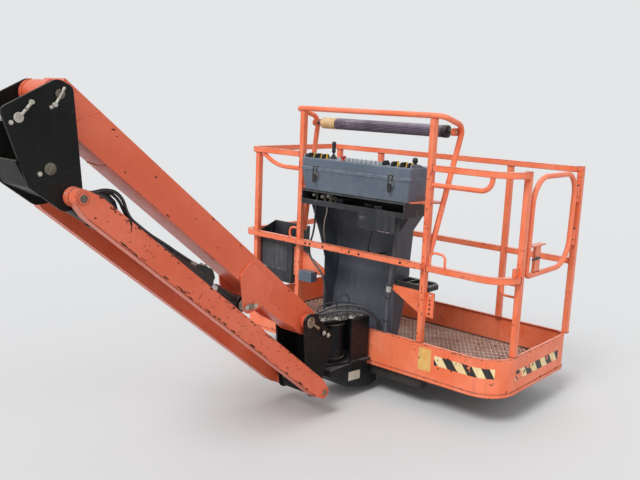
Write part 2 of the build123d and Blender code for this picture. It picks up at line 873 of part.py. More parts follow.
lid_gap = 1
lid_lip = 5
lid_lip_height = 13
box_middle = (box_front + box_back) / 2
with BuildPart() as control_lid:
    with BuildSketch(Plane.XY.offset(box_seam + lid_gap)):
        with Locations((box_x, box_middle)):
            RectangleRounded(2 * box_half_top, box_depth, 14)
    extrude(amount=box_top - box_seam - lid_gap)
    fillet(control_lid.faces().sort_by(Axis.Z)[-1].edges(), 8)
    offset(amount=-box_wall, openings=control_lid.faces().sort_by(Axis.Z)[0])
    with BuildSketch(Plane.XY.offset(box_seam + lid_gap)):
        with Locations((box_x, box_middle - lid_lip / 2)):
            RectangleRounded(2 * (box_half_top + lid_lip), box_depth + lid_lip, 17)
        with Locations((box_x, box_middle)):
            RectangleRounded(2 * box_half_top - box_wall, box_depth - box_wall, 12, mode=Mode.SUBTRACT)
    extrude(amount=lid_lip_height)
    for x in (box_x - box_half_top + 6, box_x + box_half_top - 6):
        with BuildSketch(side_plane(x=x)):
            with BuildLine():
                FilletPolyline(
                    (1962, box_top - 6), (1978, box_top + 20), (2050, box_top + 16), (2110, box_top - 6),
                    radius=[1, 8, 20, 1],
                    close=True,
                )
            make_face()
        extrude(amount=3, both=True)
    for low, high in ((-198, -62), (42, 178)):
        hinge_leaf(low, high, 13)
    with BuildSketch(side_plane((hinge_y, hinge_z), x=-300)):
        Circle(hinge_pin + running_fit)
    extrude(amount=580, mode=Mode.SUBTRACT)
write(control_lid, "control_lid", platform_place)

panel_level = box_top + seat_gap
lid_left, lid_right = box_x - box_half_top, box_x + box_half_top
standing = (Align.CENTER, Align.CENTER, Align.MIN)
stick_places = (
    # x, y, stem, grip radius, grip length
    (lid_left + 163, 2040, 40, 9, 50),
    (lid_right - 46, 2066, 26, 15, 8),
)
with BuildPart() as joysticks:
    for x, y, stem, grip_radius, grip in stick_places:
        with Locations((x, y, panel_level)):
            Cone(20, 9, 24, align=standing)
            Cylinder(5, stem + 10, align=standing)
        with Locations((x, y, panel_level + stem)):
            Cylinder(grip_radius, grip, align=standing)
        with Locations((x, y, panel_level + stem), (x, y, panel_level + stem + grip)):
            Sphere(grip_radius)
write(joysticks, "joysticks", platform_place)

switch_y = 2000
with BuildPart() as panel_switches:
    for x in (*(lid_left + d for d in (56, 110, 149)), *(lid_right - d for d in (106, 50, 17))):
        with Locations((x, switch_y, panel_level)):
            Box(7, 16, 8, align=standing)
            Box(5, 10, 28, align=standing)
write(panel_switches, "panel_switches", platform_place)

toggle_shares = (-0.156, -0.081, -0.005, 0.07, 0.156, 0.242, 0.328, 0.403)   # of the lid's half length
with BuildPart() as panel_toggles:
    for share in toggle_shares:
        with Locations((box_x + share * box_half_top, switch_y - 6, panel_level)):
            Cylinder(7, 4, align=standing)
            Cylinder(2.5, 20, align=standing)
write(panel_toggles, "panel_toggles", platform_place)

with BuildPart() as stop_button:
    with Locations((-116, switch_y, panel_level)):
        Cylinder(10, 16, align=standing)
    with Locations((-116, switch_y, panel_level + 14)):
        Cone(15, 18, 6, align=standing)
        Cylinder(16, 12, align=standing)
write(stop_button, "stop_button", platform_place)

rib_height = 25
rib_thickness = 9
with BuildPart() as panel_guards:
    for x in (*(lid_left + d for d in (27, 78, 132)), *(lid_right - d for d in (192, 134, 77, 32))):
        with BuildSketch(side_plane(x=x)):
            with BuildLine():
                FilletPolyline(
                    (1970, panel_level), (1976, panel_level + rib_height),
                    (2024, panel_level + rib_height), (2036, panel_level),
                    radius=[1, 11, 11, 1],
                    close=True,
                )
            make_face()
        extrude(amount=rib_thickness)
write(panel_guards, "panel_guards", platform_place)

# Gusset plates behind the posts, tying them to the column
gusset_back = column_front - seat_gap / 2
gusset = gusset_back - (near_rail + post_half) - seat_gap / 2
with BuildPart() as gussets:
    for outline, strip_x, strip in (
        (((218, -884), (488, -884), (488, -1020), (411, -1020), (218, -916)), 460, (-900, -1000)),
        (((-276, -889), (-465, -794), (-523, -791), (-523, -970), (-483, -939), (-276, -931)), -506,
         (-815, -945)),
    ):
        with BuildSketch(front_plane(gusset_back)):
            with BuildLine():
                Polyline(*outline, close=True)
            make_face()
            with Locations(*((strip_x, strip[0] + k * (strip[1] - strip[0]) / 4) for k in range(5))):
                Circle(6, mode=Mode.SUBTRACT)
        extrude(amount=gusset)
write(gussets, "gussets", platform_place)

tray_low = -884 + seat_gap
tray_depth = 26
with BuildPart() as tool_tray:
    with BuildSketch(Plane.XY.offset(tray_low)):
        with BuildLine():
            Polyline(
                (236, near_rail + post_half + seat_gap), (452, near_rail + post_half + seat_gap),
                (452, 2160), (410, 2200), (236, 2200),
                close=True,
            )
        make_face()
    extrude(amount=tray_depth)
    with BuildSketch(Plane.XY.offset(tray_low + 5)):
        with Locations((272, 2134), (334, 2134), (396, 2128)):
            RectangleRounded(50, 96, 12)
    extrude(amount=tray_depth, mode=Mode.SUBTRACT)
write(tool_tray, "tool_tray", platform_place)

with BuildPart() as junction_box:
    with Locations((-382, near_rail - 12, -944)):
        Box(100, 56, 62)
write(junction_box, "junction_box", platform_place)

manual_front = near_rail + post_half + seat_gap
with BuildPart() as manual_box:
    for inset, low, rise in ((0, -1028, 0), (4, -1024, 84)):
        with BuildSketch(side_plane(x=-842 + inset)):
            with BuildLine():
                Polyline(
                    (manual_front + inset, low), (manual_front + 150 - inset, low),
                    (manual_front + 160 - inset, -684 + rise), (manual_front + inset, -743 + rise),
                    close=True,
                )
            make_face()
        extrude(amount=300 - 2 * inset, mode=Mode.SUBTRACT if inset else Mode.ADD)
write(manual_box, "manual_box", platform_place)

# Side gate: round tube hoop hung on the far post, with a stop plate on its low bar
gate_x = half_length
hoop_near = gate_post_y + 64
hoop_far = far_rail - 63
pin_r = 8
knuckle_r = 14
hinge_levels = (-360, -600)
hinge_line_y = far_rail - post_half - knuckle_r - seat_gap
with BuildPart() as gate_hoop:
    with BuildLine() as hoop_path:
        FilletPolyline(
            (gate_x, hoop_near, gate_low), (gate_x, hoop_near + 6, gate_high), (gate_x, hoop_far, gate_high),
            (gate_x, hoop_far - 12, gate_low),
            radius=[30, 140, 110, 150],
            close=True,
        )
    with BuildSketch(Plane(origin=hoop_path.line @ 0, z_dir=hoop_path.line % 0)):
        Circle(gate_tube / 2)
    sweep()
    for z in hinge_levels:
        with Locations((gate_x, (hoop_far + hinge_line_y) / 2, z + 16)):
            Box(12, hinge_line_y - hoop_far, 60)
        with Locations((gate_x, hinge_line_y, z + 16)):
            Cylinder(knuckle_r, 60)
            Cylinder(pin_r + running_fit, 70, mode=Mode.SUBTRACT)
write(gate_hoop, "gate_hoop", platform_place)

with BuildPart() as gate_fittings:
    for z in hinge_levels:
        with Locations((gate_x, hinge_line_y, z)):
            Cylinder(pin_r, 90)
        with Locations((gate_x, hinge_line_y, z - 30)):
            Cylinder(knuckle_r, 30)
        with Locations((gate_x, far_rail - post_half - 5, z - 30)):
            Box(12, 10, 30)
    with Locations((gate_x - 10, gate_post_y - post_half - 15, -714)):
        Box(24, 30, 42)
write(gate_fittings, "gate_fittings", platform_place)

latch_height = 138
latch_low = gate_low + gate_tube / 2
latch_y = hoop_near + 100
with BuildPart() as gate_latch:
    with Locations((gate_x, latch_y, latch_low)):
        Box(14, 64, latch_height, align=standing)
    with Locations((gate_x, latch_y - 8, latch_low + latch_height - 1)):
        Box(40, 140, 6, align=standing)
write(gate_latch, "gate_latch", platform_place)

with BuildPart() as latch_lever:
    with Locations((gate_x + 7 + seat_gap + 6, latch_y - 24, -660)):
        Box(12, 96, 16)
write(latch_lever, "latch_lever", platform_place)

# Hoses and cables, straight runs joined by easy bends
rotator_hose = 14
console_cable_size = 26
thin_cable = 12


def cord_path(points):
    """Bend radii that leave a straight stretch between every two bends."""
    radii = []
    for before, here, after in zip(points, points[1:], points[2:]):
        a = Vector(*here) - Vector(*before)
        b = Vector(*after) - Vector(*here)
        half_turn = radians(a.get_angle(b)) / 2
        radii.append(0.45 * min(a.length, b.length) / max(sin(half_turn) / cos(half_turn), 0.05))
    return radii


def cord(name, diameter, points, place=platform_place):
    """One hose or cable as its own node."""
    radii = cord_path(points)
    print(name, [round(r) for r in radii])
    with BuildPart() as piece:
        with BuildLine() as path:
            FilletPolyline(*points, radius=radii)
        with BuildSketch(Plane(origin=path.line @ 0, z_dir=path.line % 0)) as section:
            Circle(diameter / 2)
        sweep(section.sketch, path=path.line)
    write(piece, name, place)


def on_cylinder(along_barrel, above, x=0):
    """Place measured along the lift cylinder from its base pin and square to it."""
    forward = Vector(0, *stroke_line) / cylinder_length
    upward = Vector(0, -forward.Z, forward.Y)
    here = Vector(0, *link_pivot) + forward * along_barrel + upward * above
    return (x, here.Y, here.Z)


cord(
    "rotator_hose_a",
    rotator_hose,
    (
        (-26, hose_block_face, -1040), (-26, 1735, -1040), (-8, 1785, -1020), (36, 1840, -1000),
        (82, 1893, -998), (120, 1948, -1017), (142, 2000, -1055), (152, 2046, -1106),
        (152, 2046, toe_top + seat_gap),
    ),
)
cord(
    "rotator_hose_b",
    rotator_hose,
    (
        (-6, hose_block_face, -1042), (-6, 1735, -1042), (16, 1785, -1034), (56, 1833, -1024),
        (100, 1882, -1024), (136, 1932, -1036), (160, 1988, -1066), (173, 2046, -1108),
        (173, 2046, toe_top + seat_gap),
    ),
)
cable_y = near_rail + 1
toe_flange_y = near_rail - 5
cord(
    "console_cable",
    console_cable_size,
    (
        (236, cable_y, tray_bottom - seat_gap), (236, cable_y, -610), (222, cable_y, -745),
        (206, cable_y, -885), (199, toe_flange_y, -1030), (199, toe_flange_y, toe_top + seat_gap),
    ),
)
cord(
    "side_cable",
    thin_cable,
    (
        (-350, cable_y, tray_bottom - seat_gap), (-350, cable_y, -590), (-362, cable_y, -685),
        (-390, cable_y, -758), (-384, cable_y, -826), (-334, cable_y, -868), (-284, cable_y, -908),
        (-250, cable_y - 3, -978), (-238, toe_flange_y, -1064), (-238, toe_flange_y, toe_top + seat_gap),
    ),
)
hose_lift = barrel_radius + rotator_hose / 2 + seat_gap
cord(
    "cylinder_hose",
    rotator_hose,
    tuple(
        on_cylinder(distance, height)
        for distance, height in (
            (valve_start - seat_gap, hose_lift), (650, hose_lift), (560, 54), (470, 53), (400, 60),
            (345, 66), (306, 86), (272, 116), (222, 128), (170, 108), (136, 76), (100, port_middle),
            (port_end + seat_gap, port_middle),
        )
    ),
    None,
)
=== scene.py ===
import json
import math
import random
from functools import partial

import bmesh
import bpy
from mathutils import Matrix, Vector


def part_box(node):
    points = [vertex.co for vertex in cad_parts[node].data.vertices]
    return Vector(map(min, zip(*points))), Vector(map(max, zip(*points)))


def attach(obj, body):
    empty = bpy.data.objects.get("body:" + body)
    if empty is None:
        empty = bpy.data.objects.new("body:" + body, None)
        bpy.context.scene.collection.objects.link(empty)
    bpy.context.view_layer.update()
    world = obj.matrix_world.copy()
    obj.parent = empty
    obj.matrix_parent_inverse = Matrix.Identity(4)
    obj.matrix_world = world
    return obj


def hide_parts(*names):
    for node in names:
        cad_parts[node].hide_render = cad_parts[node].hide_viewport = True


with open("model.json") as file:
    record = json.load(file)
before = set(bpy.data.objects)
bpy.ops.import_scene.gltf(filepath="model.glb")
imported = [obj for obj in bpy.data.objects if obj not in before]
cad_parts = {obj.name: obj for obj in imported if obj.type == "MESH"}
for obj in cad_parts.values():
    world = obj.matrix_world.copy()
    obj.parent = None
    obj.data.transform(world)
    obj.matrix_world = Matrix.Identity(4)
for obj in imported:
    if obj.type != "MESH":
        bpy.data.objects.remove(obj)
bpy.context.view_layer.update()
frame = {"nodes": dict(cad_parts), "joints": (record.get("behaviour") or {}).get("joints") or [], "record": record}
nodes = frame["nodes"]
pivots = {joint["name"]: Vector(joint["pos_m"]) for joint in frame["joints"] if "pos_m" in joint}

# The camera stands to the right of the boom's end and looks down the jib at the platform.
# Its place, turn and lens put the rails, pins and plates where the photograph has them.
camera_place = Vector((2.5894, -1.3102, 0.1127))
camera_yaw, camera_pitch, camera_roll = (math.radians(angle) for angle in (40.726, 10.585, 2.362))
camera_data = bpy.data.cameras.new("camera")
camera_data.lens = 43.415
camera_data.sensor_width = 36
camera_data.clip_end = 300
camera = bpy.data.objects.new("camera", camera_data)
ahead = Vector((
    -math.sin(camera_yaw) * math.cos(camera_pitch), math.cos(camera_yaw) * math.cos(camera_pitch),
    -math.sin(camera_pitch)))
level_right = Vector((math.cos(camera_yaw), math.sin(camera_yaw), 0))
level_up = level_right.cross(ahead)
right = level_right * math.cos(camera_roll) + level_up * math.sin(camera_roll)
up = level_up * math.cos(camera_roll) - level_right * math.sin(camera_roll)
camera.matrix_world = Matrix.Translation(camera_place) @ Matrix(
    (right, up, -ahead)).transposed().to_4x4()
bpy.context.scene.collection.objects.link(camera)
bpy.context.scene.camera = camera
bpy.context.scene.view_settings.view_transform = "Standard"


# Hoses and cables: black rubber hose and sheathed cable, smooth between the fittings at their ends.
# Rubber dulls to grey with dust, and takes fine rubs where it touches steel; the console sleeve's lighter grey is
# painted sheen.
def add_node(tree, kind, links=(), **settings):
    """One shader or geometry node with its settings, its inputs set to values or joined to others."""
    made = tree.nodes.new(kind)
    for key, value in settings.items():
        setattr(made, key, value)
    for socket, source in dict(links).items():
        if isinstance(source, bpy.types.Node):
            source = source.outputs[0]
        if isinstance(source, bpy.types.NodeSocket):
            tree.links.new(source, made.inputs[socket])
        else:
            made.inputs[socket].default_value = source
    return made


def ranged(tree, value, low, high, to_low=0.0, to_high=1.0):
    """Value stretched from one range to another and clipped there."""
    made = add_node(tree, "ShaderNodeMapRange", {
        "Value": value, "From Min": low, "From Max": high, "To Min": to_low, "To Max": to_high})
    return made.outputs[0]


def reckon(tree, operation, first, second):
    """Sum, product, greater or other value of two."""
    return add_node(tree, "ShaderNodeMath", {0: first, 1: second}, operation=operation).outputs[0]


def tinted(tree, share, first, second):
    """Colour mixed from two by a share."""
    made = add_node(tree, "ShaderNodeMix", data_type="RGBA")
    for name, source in (("Factor_Float", share), ("A_Color", first), ("B_Color", second)):
        socket = next(s for s in made.inputs if s.identifier == name)
        if isinstance(source, bpy.types.NodeSocket):
            tree.links.new(source, socket)
        else:
            socket.default_value = source
    return next(s for s in made.outputs if s.identifier == "Result_Color")


def cloud(tree, place, scale, detail=5, rough=0.6):
    """Soft noise over the surface, about a half on average."""
    made = add_node(tree, "ShaderNodeTexNoise", {
        "Vector": place, "Scale": scale, "Detail": detail, "Roughness": rough})
    return made.outputs[0]


weathering_values = (
    ("Blotches", 4.0), ("Edge wear", 1.0), ("Chips", 0.1), ("Scratches", 0.4), ("Pale edges", 0.4),
    ("Streaks", 0.15), ("Dusty", 0.3), ("Roughness", 0.4), ("Edge reach", 0.006), ("Grain", 0.4))


def weathering_group():
    """Worn coating: blotched colour, chips, scratches, streaks and dust, and the relief they leave."""
    group = bpy.data.node_groups.new("weathering", "ShaderNodeTree")
    for name in ("Fresh", "Faded", "Under", "Scuffed", "Dust"):
        group.interface.new_socket(name, in_out="INPUT", socket_type="NodeSocketColor")
    for name, value in weathering_values:
        socket = group.interface.new_socket(name, in_out="INPUT", socket_type="NodeSocketFloat")
        socket.default_value = value
    for name, kind in (("Color", "Color"), ("Roughness", "Float"), ("Metal", "Float"), ("Normal", "Vector")):
        group.interface.new_socket(name, in_out="OUTPUT", socket_type="NodeSocket" + kind)
    given = group.nodes.new("NodeGroupInput").outputs
    result = group.nodes.new("NodeGroupOutput").inputs
    node, over, tint, noise = (partial(make, group) for make in (add_node, ranged, tinted, cloud))
    times, plus, less, most = (
        partial(reckon, group, operation) for operation in ("MULTIPLY", "ADD", "SUBTRACT", "MAXIMUM"))
    place = node("ShaderNodeTexCoord").outputs["Object"]
    surface = node("ShaderNodeNewGeometry").outputs["Normal"]
    broad = noise(place, given["Blotches"])
    middle = noise(place, 24, 4)
    small = noise(place, 95, 6, 0.65)
    tiny = noise(place, 520, 2)

    coat = tint(over(broad, 0.38, 0.64), given["Fresh"], given["Faded"])
    falling = node("ShaderNodeMapping", {"Vector": place, "Scale": (18, 18, 1.2)})
    run = times(over(noise(falling, 2.4), 0.52, 0.7), given["Streaks"])
    dirty = tint(run, coat, given["Under"])

    rounded = node("ShaderNodeBevel", {"Radius": given["Edge reach"]}, samples=6)
    facing = node("ShaderNodeVectorMath", {0: rounded, 1: surface}, operation="DOT_PRODUCT")
    edge = over(facing.outputs["Value"], 0.995, 0.8)
    rub = times(edge, over(middle, 0.42, 0.6, 0.0, 0.9))
    pale = times(rub, given["Pale edges"])
    scuffed = tint(pale, dirty, given["Scuffed"])

    grit = times(plus(middle, small), 0.5)
    lift = times(times(edge, given["Edge wear"]), 0.2)
    edge_chips = over(plus(grit, lift), 0.745, 0.765)
    cell = node("ShaderNodeTexVoronoi", {"Vector": place, "Scale": 34.0}, feature="F1")
    chance = node("ShaderNodeSeparateColor", {0: cell.outputs["Color"]})
    rare = less(1.0, given["Chips"])
    size = over(less(chance, rare), 0.0, 0.25, 0.0, 0.3)
    ragged = times(less(small, 0.5), 0.5)
    reach = plus(cell.outputs["Distance"], ragged)
    spots = over(less(size, reach), 0.0, 0.02)
    spots = times(spots, over(size, 0.0, 0.01))
    drawn = node("ShaderNodeMapping", {
        "Vector": place, "Rotation": (0.7, 0.5, 0.9), "Scale": (3, 42, 42)})
    line = node("ShaderNodeMath", {0: less(noise(drawn, 1.0, 2), 0.5)}, operation="ABSOLUTE")
    torn = over(line, 0.006, 0.003)
    torn = times(torn, over(noise(place, 5.5, 3), 0.56, 0.62))
    torn = times(torn, given["Scratches"])
    bare = most(most(edge_chips, spots), torn)
    chipped = tint(bare, scuffed, given["Under"])

    upward = node("ShaderNodeSeparateXYZ", {0: surface}).outputs["Z"]
    settled = times(over(upward, 0.3, 0.95), over(broad, 0.36, 0.6, 0.3, 1))
    dust = times(settled, given["Dusty"])
    group.links.new(tint(dust, chipped, given["Dust"]), result["Color"])

    shine = plus(given["Roughness"], over(grit, 0.35, 0.65, -0.08, 0.08))
    dull = times(most(bare, dust), 0.35)
    group.links.new(plus(shine, dull), result["Roughness"])
    group.links.new(times(edge_chips, 0.3), result["Metal"])
    skin = times(tiny, given["Grain"])
    waves = times(middle, 0.6)
    relief = less(plus(skin, waves), bare)
    bump = node("ShaderNodeBump", {"Height": relief, "Strength": 0.4, "Distance": 0.0007})
    group.links.new(bump.outputs[0], result["Normal"])
    return group


weathering = weathering_group()
rust_brown = (0.035, 0.018, 0.012)
site_dust = (0.33, 0.30, 0.26)


def coated(
        name, slot, fresh, faded, under=rust_brown, scuffed=None, dust=site_dust, gloss=0.5,
        **strengths):
    """Material of one coated piece: the shared weathering at this piece's own strengths."""
    made = bpy.data.materials.new(name)
    made.use_nodes = True
    tree = made.node_tree
    look = add_node(tree, "ShaderNodeGroup", node_tree=weathering)
    for socket, colour in (
            ("Fresh", fresh), ("Faded", faded), ("Under", under), ("Dust", dust),
            ("Scuffed", scuffed or faded)):
        look.inputs[socket].default_value = (*colour, 1)
    for socket, value in weathering_values:
        look.inputs[socket].default_value = strengths.get(socket.lower().replace(" ", "_"), value)
    shader = tree.nodes["Principled BSDF"]
    shader.inputs["Specular IOR Level"].default_value = gloss
    for source, target in (
            ("Color", "Base Color"), ("Roughness", "Roughness"), ("Metal", "Metallic"),
            ("Normal", "Normal")):
        tree.links.new(look.outputs[source], shader.inputs[target])
    made["slot"] = slot
    return made


def hose(name, node, points, diameter, body, material):
    """Hose or cable as one smooth line through its route, held by fittings at both ends."""
    data = bpy.data.curves.new(name, "CURVE")
    data.dimensions = "3D"
    line = data.splines.new("NURBS")
    line.points.add(len(points) - 1)
    for point, place in zip(line.points, points):
        point.co = (*place, 1)
    line.order_u = 3
    line.use_endpoint_u = True
    data.bevel_depth = diameter / 2
    data.bevel_resolution = 5
    data.resolution_u = 10
    data.use_fill_caps = True
    data.materials.append(material)
    made = bpy.data.objects.new(name, data)
    bpy.context.scene.collection.objects.link(made)
    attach(made, body)
    if node:
        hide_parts(node)


def at(x, y, z):
    """Place in the frame, from millimetres."""
    return Vector((x, y, z)) / 1000


def metres(*points):
    """Route through places that are written in millimetres."""
    return [at(*point) for point in points]


cylinder_along = Vector(next(joint["axis"] for joint in frame["joints"] if joint["name"] == "rod_slide"))
cylinder_above = Vector((0, -cylinder_along.z, cylinder_along.y))


def on_cylinder(along, above, x=0.0):
    """Place along the lift cylinder from its base pin, in millimetres along, square to it and across."""
    return pivots["cylinder_swing"] + (
        cylinder_along * along + cylinder_above * above + Vector((x, 0, 0))) / 1000


rubber = coated(
    "hose_rubber", "rubber", (0.014, 0.015, 0.019), (0.030, 0.031, 0.037), under=(0.06, 0.055, 0.05),
    scratches=0.2, edge_wear=0.0, chips=0.0, streaks=0.0, roughness=0.33, gloss=0.7)
hose("rotator_line_a", "rotator_hose_a", metres(
    (-26, 1700, -1040), (-26, 1735, -1040), (-8, 1785, -1020), (36, 1840, -1000), (82, 1893, -998),
    (120, 1948, -1017), (142, 2000, -1055), (152, 2046, -1106),
    (152, 2046, -1156.7)), 0.014, "platform", rubber)
hose("rotator_line_b", "rotator_hose_b", metres(
    (-6, 1700, -1042), (-6, 1735, -1042), (16, 1785, -1034), (56, 1833, -1024), (100, 1882, -1024),
    (136, 1932, -1036), (160, 1988, -1066), (173, 2046, -1108),
    (173, 2046, -1156.7)), 0.014, "platform", rubber)
# The console sleeve's lighter blue-grey base colour is painted sheen.
sleeve = coated(
    "sleeve_painted_sheen", "rubber", (0.040, 0.043, 0.052), (0.085, 0.090, 0.105), under=(0.02, 0.02, 0.022),
    edge_wear=0.0, dusty=0.2, streaks=0.0, roughness=0.5, grain=1.6)
hose("console_line", "console_cable", metres(
    (236, 2055, -498.3), (236, 2055, -610), (222, 2055, -745), (206, 2055, -885), (199, 2049, -1030),
    (199, 2049, -1156.7)), 0.026, "platform", sleeve)
hose("side_line", "side_cable", metres(
    (-350, 2055, -498.3), (-350, 2055, -590), (-362, 2055, -685), (-390, 2055, -758), (-384, 2055, -826),
    (-334, 2055, -868), (-284, 2055, -908), (-250, 2052, -978), (-238, 2049, -1064),
    (-238, 2049, -1156.7)), 0.012, "platform", rubber)
hose("cylinder_line", "cylinder_hose", [on_cylinder(*place) for place in (
    (757.7, 49.3), (650, 49.3), (560, 54), (470, 53), (400, 60), (345, 66), (306, 86), (272, 116),
    (222, 128), (170, 108), (136, 76), (100, 58), (72.3, 58))], 0.014, "cylinder", rubber)
hose("cylinder_return", None, [on_cylinder(*place) for place in (
    (757.7, 49.3, -16), (650, 49.3, -16), (560, 53, -16), (470, 52, -16), (400, 58, -17), (345, 66, -18),
    (306, 84, -19), (272, 108, -20), (224, 118, -21), (176, 102, -23), (140, 72, -26), (104, 42, -28),
    (72.3, 42, -28))], 0.012, "cylinder", rubber)
wire_sheath = coated(
    "wire_sheath", "rubber", (0.012, 0.012, 0.014), (0.02, 0.02, 0.023), under=(0.05, 0.05, 0.05),
    scratches=0.1, edge_wear=0.0, chips=0.0, dusty=0.2, streaks=0.0, roughness=0.38, gloss=0.4)
hose("rotator_wire", None, metres(
    (60, 1879, -1062), (61, 1880, -1015), (66, 1890, -968), (56, 1871, -936), (37, 1836, -936),
    (26, 1816, -968), (32, 1828, -1015),
    (33, 1829, -1062)), 0.006, "platform", wire_sheath)
hose("plate_wire", None, metres(
    (-60, 1766, -1062), (-59, 1768, -1018), (-30, 1815, -998), (14, 1880, -996), (50, 1935, -1000),
    (72, 1968, -1022), (74, 1971, -1062)), 0.006, "platform", wire_sheath)
cream_sheath = coated(
    "cream_sheath", "rubber", (0.26, 0.22, 0.15), (0.36, 0.31, 0.22), under=(0.1, 0.08, 0.05),
    edge_wear=0.0, dusty=0.2, roughness=0.5)
hose("lamp_wire", None, metres(
    (-184, 1962, -498.3), (-184, 1962, -525), (-196, 1963, -560), (-206, 1966, -600), (-214, 1976, -640),
    (-230, 2000, -680), (-256, 2040, -712), (-286, 2080, -732),
    (-304.4, 2100, -740)), 0.005, "platform", cream_sheath)
hose("flap_wire", None, metres(
    (139, 1960, -582), (132, 1966, -596), (112, 1984, -630), (84, 2008, -672), (62, 2030, -706),
    (54, 2060, -734), (52, 2120, -750), (52, 2207, -754)), 0.009, "platform", wire_sheath)

# Floor and backdrop: a plain pale studio ground that takes the shadow, under an even pale sky.
# The machine's end hangs over it, as it does when the boom is parked low.
ground_level = -1.53
ground_reach = 90
backdrop_colour = (0.78, 0.79, 0.80, 1)
ground_mesh = bpy.data.meshes.new("ground")
corners = [
    (x * ground_reach, y * ground_reach, ground_level) for x, y in ((-1, -1), (1, -1), (1, 1), (-1, 1))]
ground_mesh.from_pydata(corners, [], [(0, 1, 2, 3)])
ground = bpy.data.objects.new("ground", ground_mesh)
bpy.context.scene.collection.objects.link(ground)
ground_paint = bpy.data.materials.new("studio_floor")
ground_paint.use_nodes = True
tree = ground_paint.node_tree
where = add_node(tree, "ShaderNodeTexCoord").outputs["Object"]
away = add_node(tree, "ShaderNodeVectorMath", {0: where}, operation="LENGTH").outputs["Value"]
matte = add_node(tree, "ShaderNodeBsdfDiffuse", {"Color": (0.63, 0.635, 0.64, 1)})
haze = add_node(tree, "ShaderNodeEmission", {"Color": backdrop_colour})
blended = add_node(tree, "ShaderNodeMixShader", {0: ranged(tree, away, 4.0, 11.0), 1: matte, 2: haze})
tree.links.new(blended.outputs[0], tree.nodes["Material Output"].inputs["Surface"])
ground_mesh.materials.append(ground_paint)

world = bpy.data.worlds.new("studio")
bpy.context.scene.world = world
world.use_nodes = True
tree = world.node_tree
seen = add_node(tree, "ShaderNodeLightPath").outputs
direct = reckon(tree, "MAXIMUM", seen["Is Camera Ray"], seen["Is Glossy Ray"])
through = reckon(tree, "MAXIMUM", direct, seen["Is Transmission Ray"])
plain = add_node(tree, "ShaderNodeBackground", {"Color": backdrop_colour, "Strength": 0.78})
backdrop = add_node(tree, "ShaderNodeBackground", {"Color": backdrop_colour, "Strength": 1.0})
chosen = add_node(tree, "ShaderNodeMixShader", {0: through, 1: plain, 2: backdrop})
tree.links.new(chosen.outputs[0], tree.nodes["World Output"].inputs["Surface"])


def soft_sun(name, source, strength, spread):
    """Even soft light from one side, as a wide studio screen gives."""
    data = bpy.data.lights.new(name, "SUN")
    data.energy = strength
    data.angle = math.radians(spread)
    made = bpy.data.objects.new(name, data)
    made.rotation_euler = Vector(source).to_track_quat("Z", "Y").to_euler()
    bpy.context.scene.collection.objects.link(made)


soft_sun("key", (0.10, -0.74, 0.82), 2.1, 22)
soft_sun("side", (0.95, -0.10, 0.55), 0.42, 40)
soft_sun("back", (-0.5, 0.9, 0.5), 0.35, 40)


# Boom-tip bracket: two flame-cut steel plates painted satin black, tied by a folded bottom plate.
# The paint is rubbed grey at the edges and holds a little dust in its lower half.
bodies = frame["record"]["behaviour"]["bodies"]
body_of = {node: body for body, members in bodies.items() for node in members}


def soften(node, material, edge=0.0012, turn=35):
    """Finished form of a CAD node: the same faces, with edges broken as press and grinder leave them."""
    source = nodes[node]
    data = source.data.copy()
    data.transform(source.matrix_world)
    data.name = node + "_finished"
    shell = bmesh.new()
    shell.from_mesh(data)
    bmesh.ops.remove_doubles(shell, verts=shell.verts, dist=1e-5)
    bmesh.ops.dissolve_limit(shell, angle_limit=math.radians(0.6), verts=shell.verts, edges=shell.edges)
    shell.to_mesh(data)
    shell.free()
    data.materials.clear()
    data.materials.append(material)
    data.polygons.foreach_set("use_smooth", [True] * len(data.polygons))
    data.set_sharp_from_angle(angle=math.radians(turn))
    made = bpy.data.objects.new(node + "_finished", data)
    bpy.context.scene.collection.objects.link(made)
    if edge:
        broken = made.modifiers.new("broken_edges", "BEVEL")
        broken.width = edge
        broken.segments = 2
        broken.limit_method = "ANGLE"
        broken.angle_limit = math.radians(turn)
        broken.harden_normals = True
    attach(made, body_of[node])
    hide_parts(node)
    return made


grey_edge = (0.10, 0.10, 0.095)
bracket_black = coated(
    "bracket_black", "black_paint", (0.0065, 0.0068, 0.0065), (0.012, 0.012, 0.0115), under=grey_edge,
    scuffed=(0.06, 0.06, 0.055), blotches=2.6, chips=0.02, edge_wear=0.75, streaks=0.03, scratches=0.35,
    edge_reach=0.004, gloss=0.12)
for node in ("bracket_plate_near", "bracket_plate_far", "bracket_bottom"):
    soften(node, bracket_black)


# Pins of the bracket: turned steel with dull yellow plating, a centre mark in each end,
# each kept from turning by a round bar that is screwed to the plate beside it.
def turned(shell, place, axis, profile, sides=24):
    """Add a lathe-turned form: (radius, height) pairs in millimetres along an axis from a place."""
    turn = Vector(axis).to_track_quat("Z", "Y").to_matrix()
    rings = []
    for radius, height in profile:
        count = sides if radius else 1
        angles = [math.tau * k / count for k in range(count)]
        circle = [Vector((radius * math.cos(a), radius * math.sin(a), height)) for a in angles]
        rings.append([shell.verts.new(place + turn @ spot / 1000) for spot in circle])
    for low, high in zip(rings, rings[1:]):
        for k in range(sides):
            around = ((low, k), (low, k + 1), (high, k + 1), (high, k))
            corners = [ring[j % len(ring)] for ring, j in around]
            corners = list(dict.fromkeys(corners))
            if len(corners) > 2:
                shell.faces.new(corners)


def prism(shell, corners, depth):
    """Add a flat plate: its outline as places in the frame, and its depth as a vector."""
    low = [shell.verts.new(corner) for corner in corners]
    high = [shell.verts.new(corner + depth) for corner in corners]
    shell.faces.new(low)
    shell.faces.new(list(reversed(high)))
    for k in range(len(corners)):
        after = (k + 1) % len(corners)
        shell.faces.new((low[after], low[k], high[k], high[after]))


